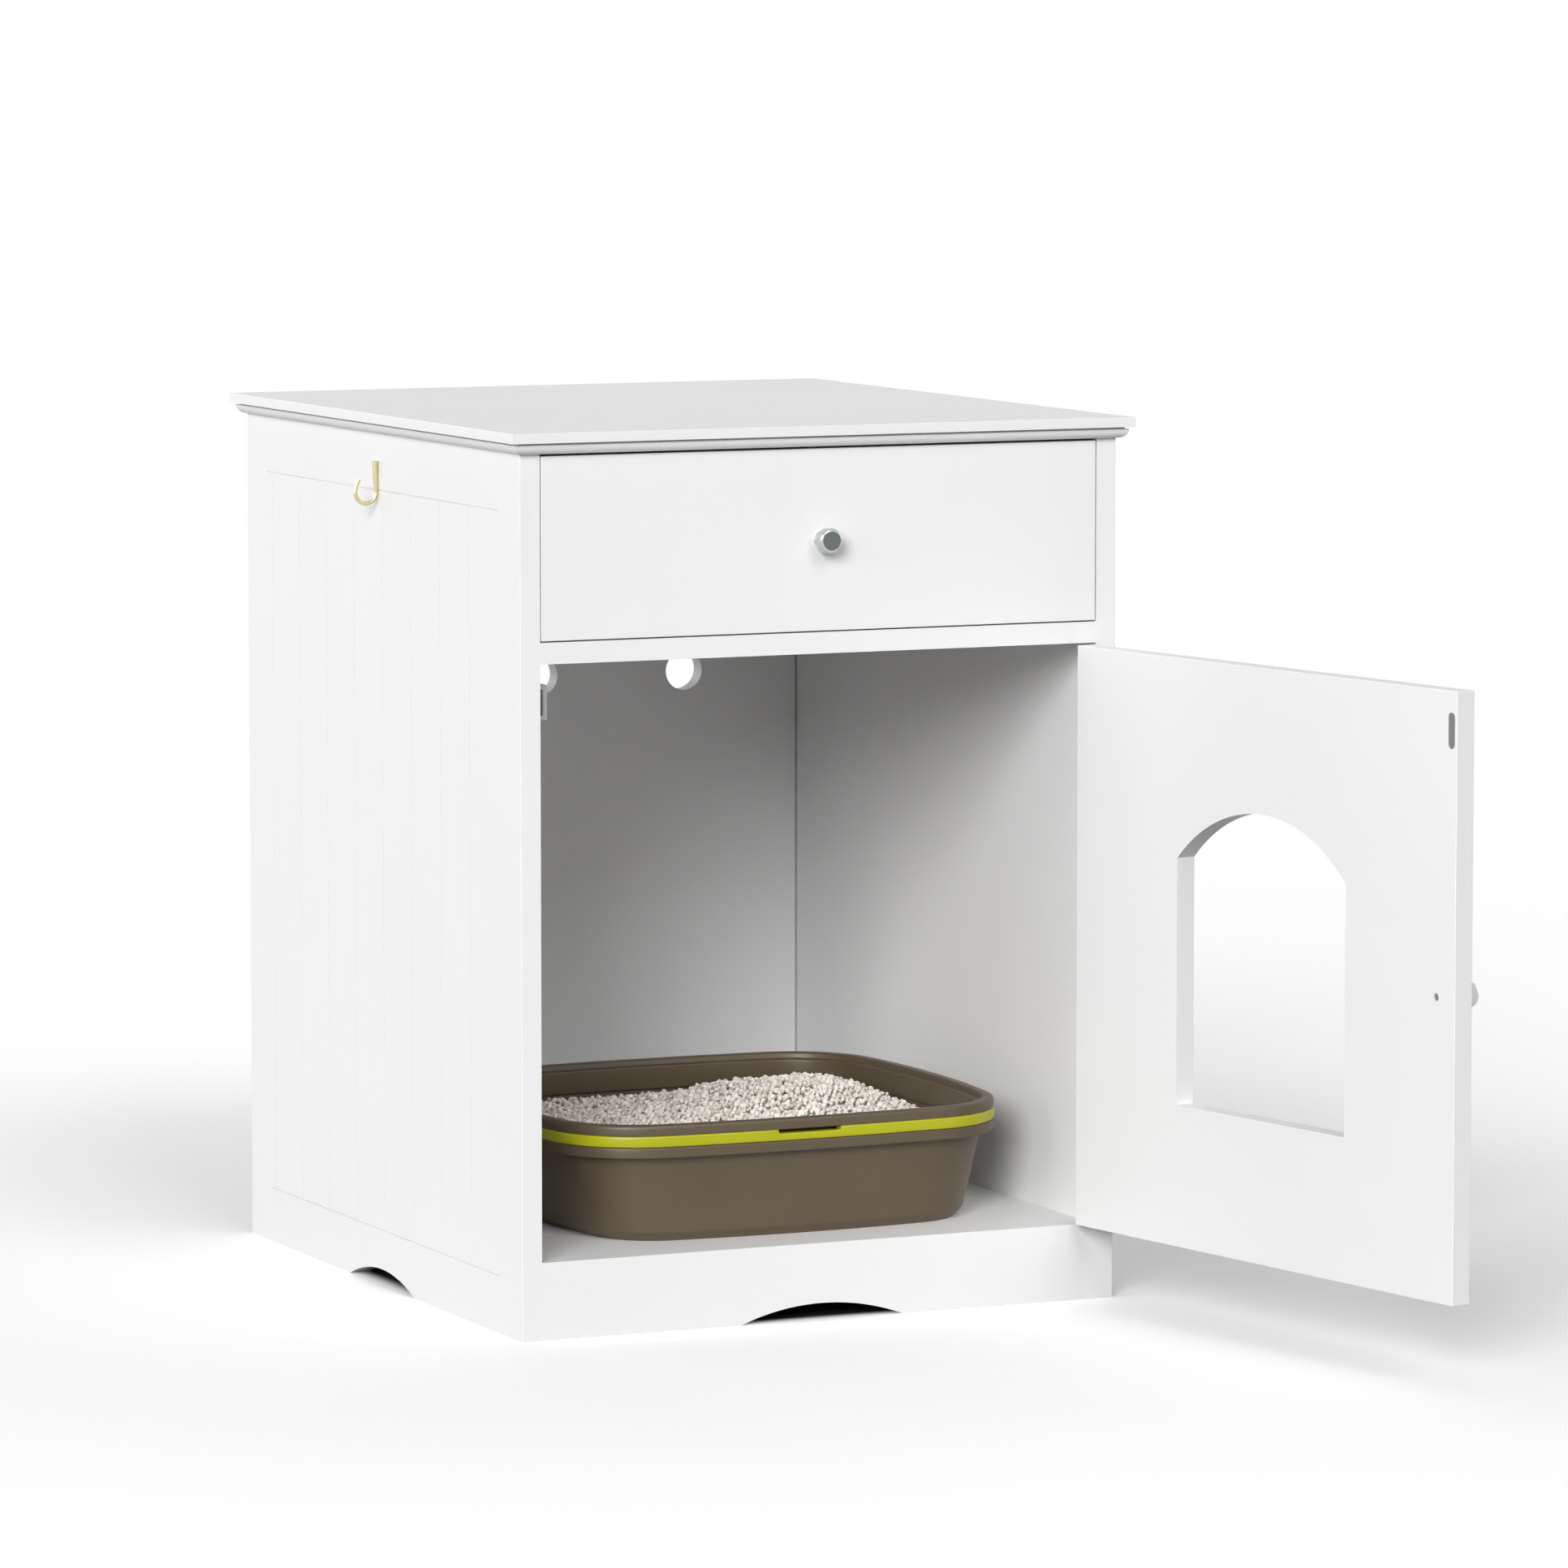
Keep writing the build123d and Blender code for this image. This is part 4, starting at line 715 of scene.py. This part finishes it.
def seen_as_white(tree):
    """Socket that is 1 for the rays that show the background, and 0 for the rays that carry light."""
    rays = add_node(tree, "ShaderNodeLightPath").outputs
    shown = rays["Is Camera Ray"]
    for name in ("Is Glossy Ray", "Is Transmission Ray"):
        either = add_node(tree, "ShaderNodeMath", {0: shown, 1: rays[name]}, operation="MAXIMUM")
        shown = either.outputs[0]
    return shown


floor_mesh = bpy.data.meshes.new("studio_floor")
square = [(-1, -1), (1, -1), (1, 1), (-1, 1)]
floor_corners = [(x * FLOOR_REACH, y * FLOOR_REACH, 0.0) for x, y in square]
floor_mesh.from_pydata(floor_corners, [], [(0, 1, 2, 3)])
floor = bpy.data.objects.new("studio_floor", floor_mesh)
bpy.context.collection.objects.link(floor)

paper, tree, shader = start_material("white studio paper", Roughness=0.9, Specular_IOR_Level=0.0)
floor_mesh.materials.append(paper)
shader.inputs["Emission Color"].default_value = (1.0, 1.0, 1.0, 1.0)
seen = seen_as_white(tree)
place = add_node(tree, "ShaderNodeTexCoord").outputs["Object"]
distance = add_node(tree, "ShaderNodeVectorMath", {0: place}, operation="LENGTH").outputs["Value"]
spread = add_node(tree, "ShaderNodeVectorMath", {0: place}, operation="ABSOLUTE").outputs["Vector"]
under = add_node(tree, "ShaderNodeVectorMath", {0: PAINTED_SHADE_HALF, 1: spread}, operation="SUBTRACT")
sides = add_node(tree, "ShaderNodeSeparateXYZ", {"Vector": under.outputs["Vector"]}).outputs
depth = add_node(tree, "ShaderNodeMath", {0: sides["X"], 1: sides["Y"]}, operation="MINIMUM").outputs[0]
# Painted shade under the cabinet: inside its outline the floor darkens to the painted grey within the
# fade.
under_range = {"Value": depth, "From Max": PAINTED_SHADE_FADE, "To Min": 1.0, "To Max": 0.0}
fade = add_node(tree, "ShaderNodeMapRange", under_range, interpolation_type="SMOOTHSTEP")
outside_painted_shade = fade.outputs["Result"]

tint = add_node(tree, "ShaderNodeMix", {"Factor": seen}, data_type="RGBA")
tint.inputs["A"].default_value = colour(FLOOR_BOUNCE)
tint.inputs["B"].default_value = colour(FLOOR_SEEN)
# The painted shade under the cabinet replaces the floor's colour there.
painted_shade_mix = add_node(tree, "ShaderNodeMix", {"Factor": outside_painted_shade}, data_type="RGBA")
painted_shade_mix.inputs["A"].default_value = colour(FLOOR_PAINTED_SHADE)
tree.links.new(tint.outputs["Result"], painted_shade_mix.inputs["B"])
tree.links.new(painted_shade_mix.outputs["Result"], shader.inputs["Base Color"])
# Painted shade round the cabinet's foot: the glow grows from the near level to the full level over this
# reach.
painted_shade_range = {"Value": distance, "From Min": PAINTED_SHADE_REACH[0], "From Max": PAINTED_SHADE_REACH[1]}
painted_shade_range.update({"To Min": PAINTED_SHADE_GLOW, "To Max": FLOOR_GLOW})
painted_shade_ramp = add_node(tree, "ShaderNodeMapRange", painted_shade_range, interpolation_type="SMOOTHSTEP")
glow = painted_shade_ramp.outputs["Result"]
for share in (seen, outside_painted_shade):
    glow = add_node(tree, "ShaderNodeMath", {0: glow, 1: share}, operation="MULTIPLY").outputs[0]
tree.links.new(glow, shader.inputs["Emission Strength"])

world = bpy.data.worlds.new("studio")
bpy.context.scene.world = world
world.use_nodes = True
tree = world.node_tree
level = add_node(
    tree, "ShaderNodeMapRange", {"Value": seen_as_white(tree), "To Min": WORLD_LEVEL, "To Max": 1.0}
)
background = tree.nodes["Background"]
background.inputs["Color"].default_value = (1.0, 1.0, 1.0, 1.0)
tree.links.new(level.outputs["Result"], background.inputs["Strength"])
print("floor and world ready")

# %% [markdown]
# Broad lamps do the rest: the key at the front left, one to the left, a weak one in front, and two
# low, weak ones behind and to the right, so that no side of a white cabinet goes dark. The front and
# the left side are the brightest faces, the top is a shade darker, and light reaches the cabinet's
# floor under the shelf but not the top of its back. Area lamps would do too, but they fall off over
# the floor. A sun lamp with a wide angle gives even light and soft shadows.

# %% Lamps
# Each row holds the turn from the front, the rise above the floor and the lamp's angle, in degrees,
# and its strength.
LAMPS = {
    "key_lamp": (-39.0, 21.0, 26.0, 2.35),
    "left_lamp": (-84.0, 15.0, 40.0, 0.92),
    "front_lamp": (4.0, 36.0, 30.0, 0.9),
    "back_lamp": (-145.0, 12.0, 50.0, 0.85),
    "right_lamp": (95.0, 10.0, 50.0, 0.5),
}
for name, (turn, rise, spread, strength) in LAMPS.items():
    lamp = bpy.data.objects.new(name, bpy.data.lights.new(name, "SUN"))
    lamp.data.angle = math.radians(spread)
    lamp.data.energy = strength
    lamp.rotation_euler = (math.radians(90 - rise), 0.0, math.radians(turn))
    bpy.context.collection.objects.link(lamp)
    print("lamp", name, "at", strength)
bpy.context.scene.view_settings.view_transform = "Standard"

# %% [markdown]
# Polished metal needs something dark to mirror, or it looks like grey paint in a white room.
# A photographer stands a dark card out of the picture for it. A darker chrome would do for one view,
# but it would look like dark paint in all the others. This card stands to the front and right, where
# the flat faces of the knobs look, and only reflections see it.

# %% Dark card for the chrome
CARD_PLACE = (2.0, -4.4, 0.3)
CARD_SIZE = (2.4, 1.5)
CARD_GREY = "#8d9292"

half_wide, half_high = (length / 2 for length in CARD_SIZE)
card_mesh = bpy.data.meshes.new("dark_card")
card_corners = [(x * half_wide, 0.0, z * half_high) for x, z in square]
card_mesh.from_pydata(card_corners, [], [(0, 1, 2, 3)])
card = bpy.data.objects.new("dark_card", card_mesh)
bpy.context.collection.objects.link(card)
card.location = CARD_PLACE
card.rotation_euler = (0.0, 0.0, math.atan2(CARD_PLACE[1], CARD_PLACE[0]) + math.pi / 2)
card.visible_camera = card.visible_diffuse = card.visible_shadow = False
felt, tree, shader = start_material("grey card", Roughness=0.9, Emission_Strength=1.0)
shader.inputs["Base Color"].default_value = (0.0, 0.0, 0.0, 1.0)
shader.inputs["Emission Color"].default_value = colour(CARD_GREY)
card_mesh.materials.append(felt)
print("card stands", round(card.location.length, 2), "m away")
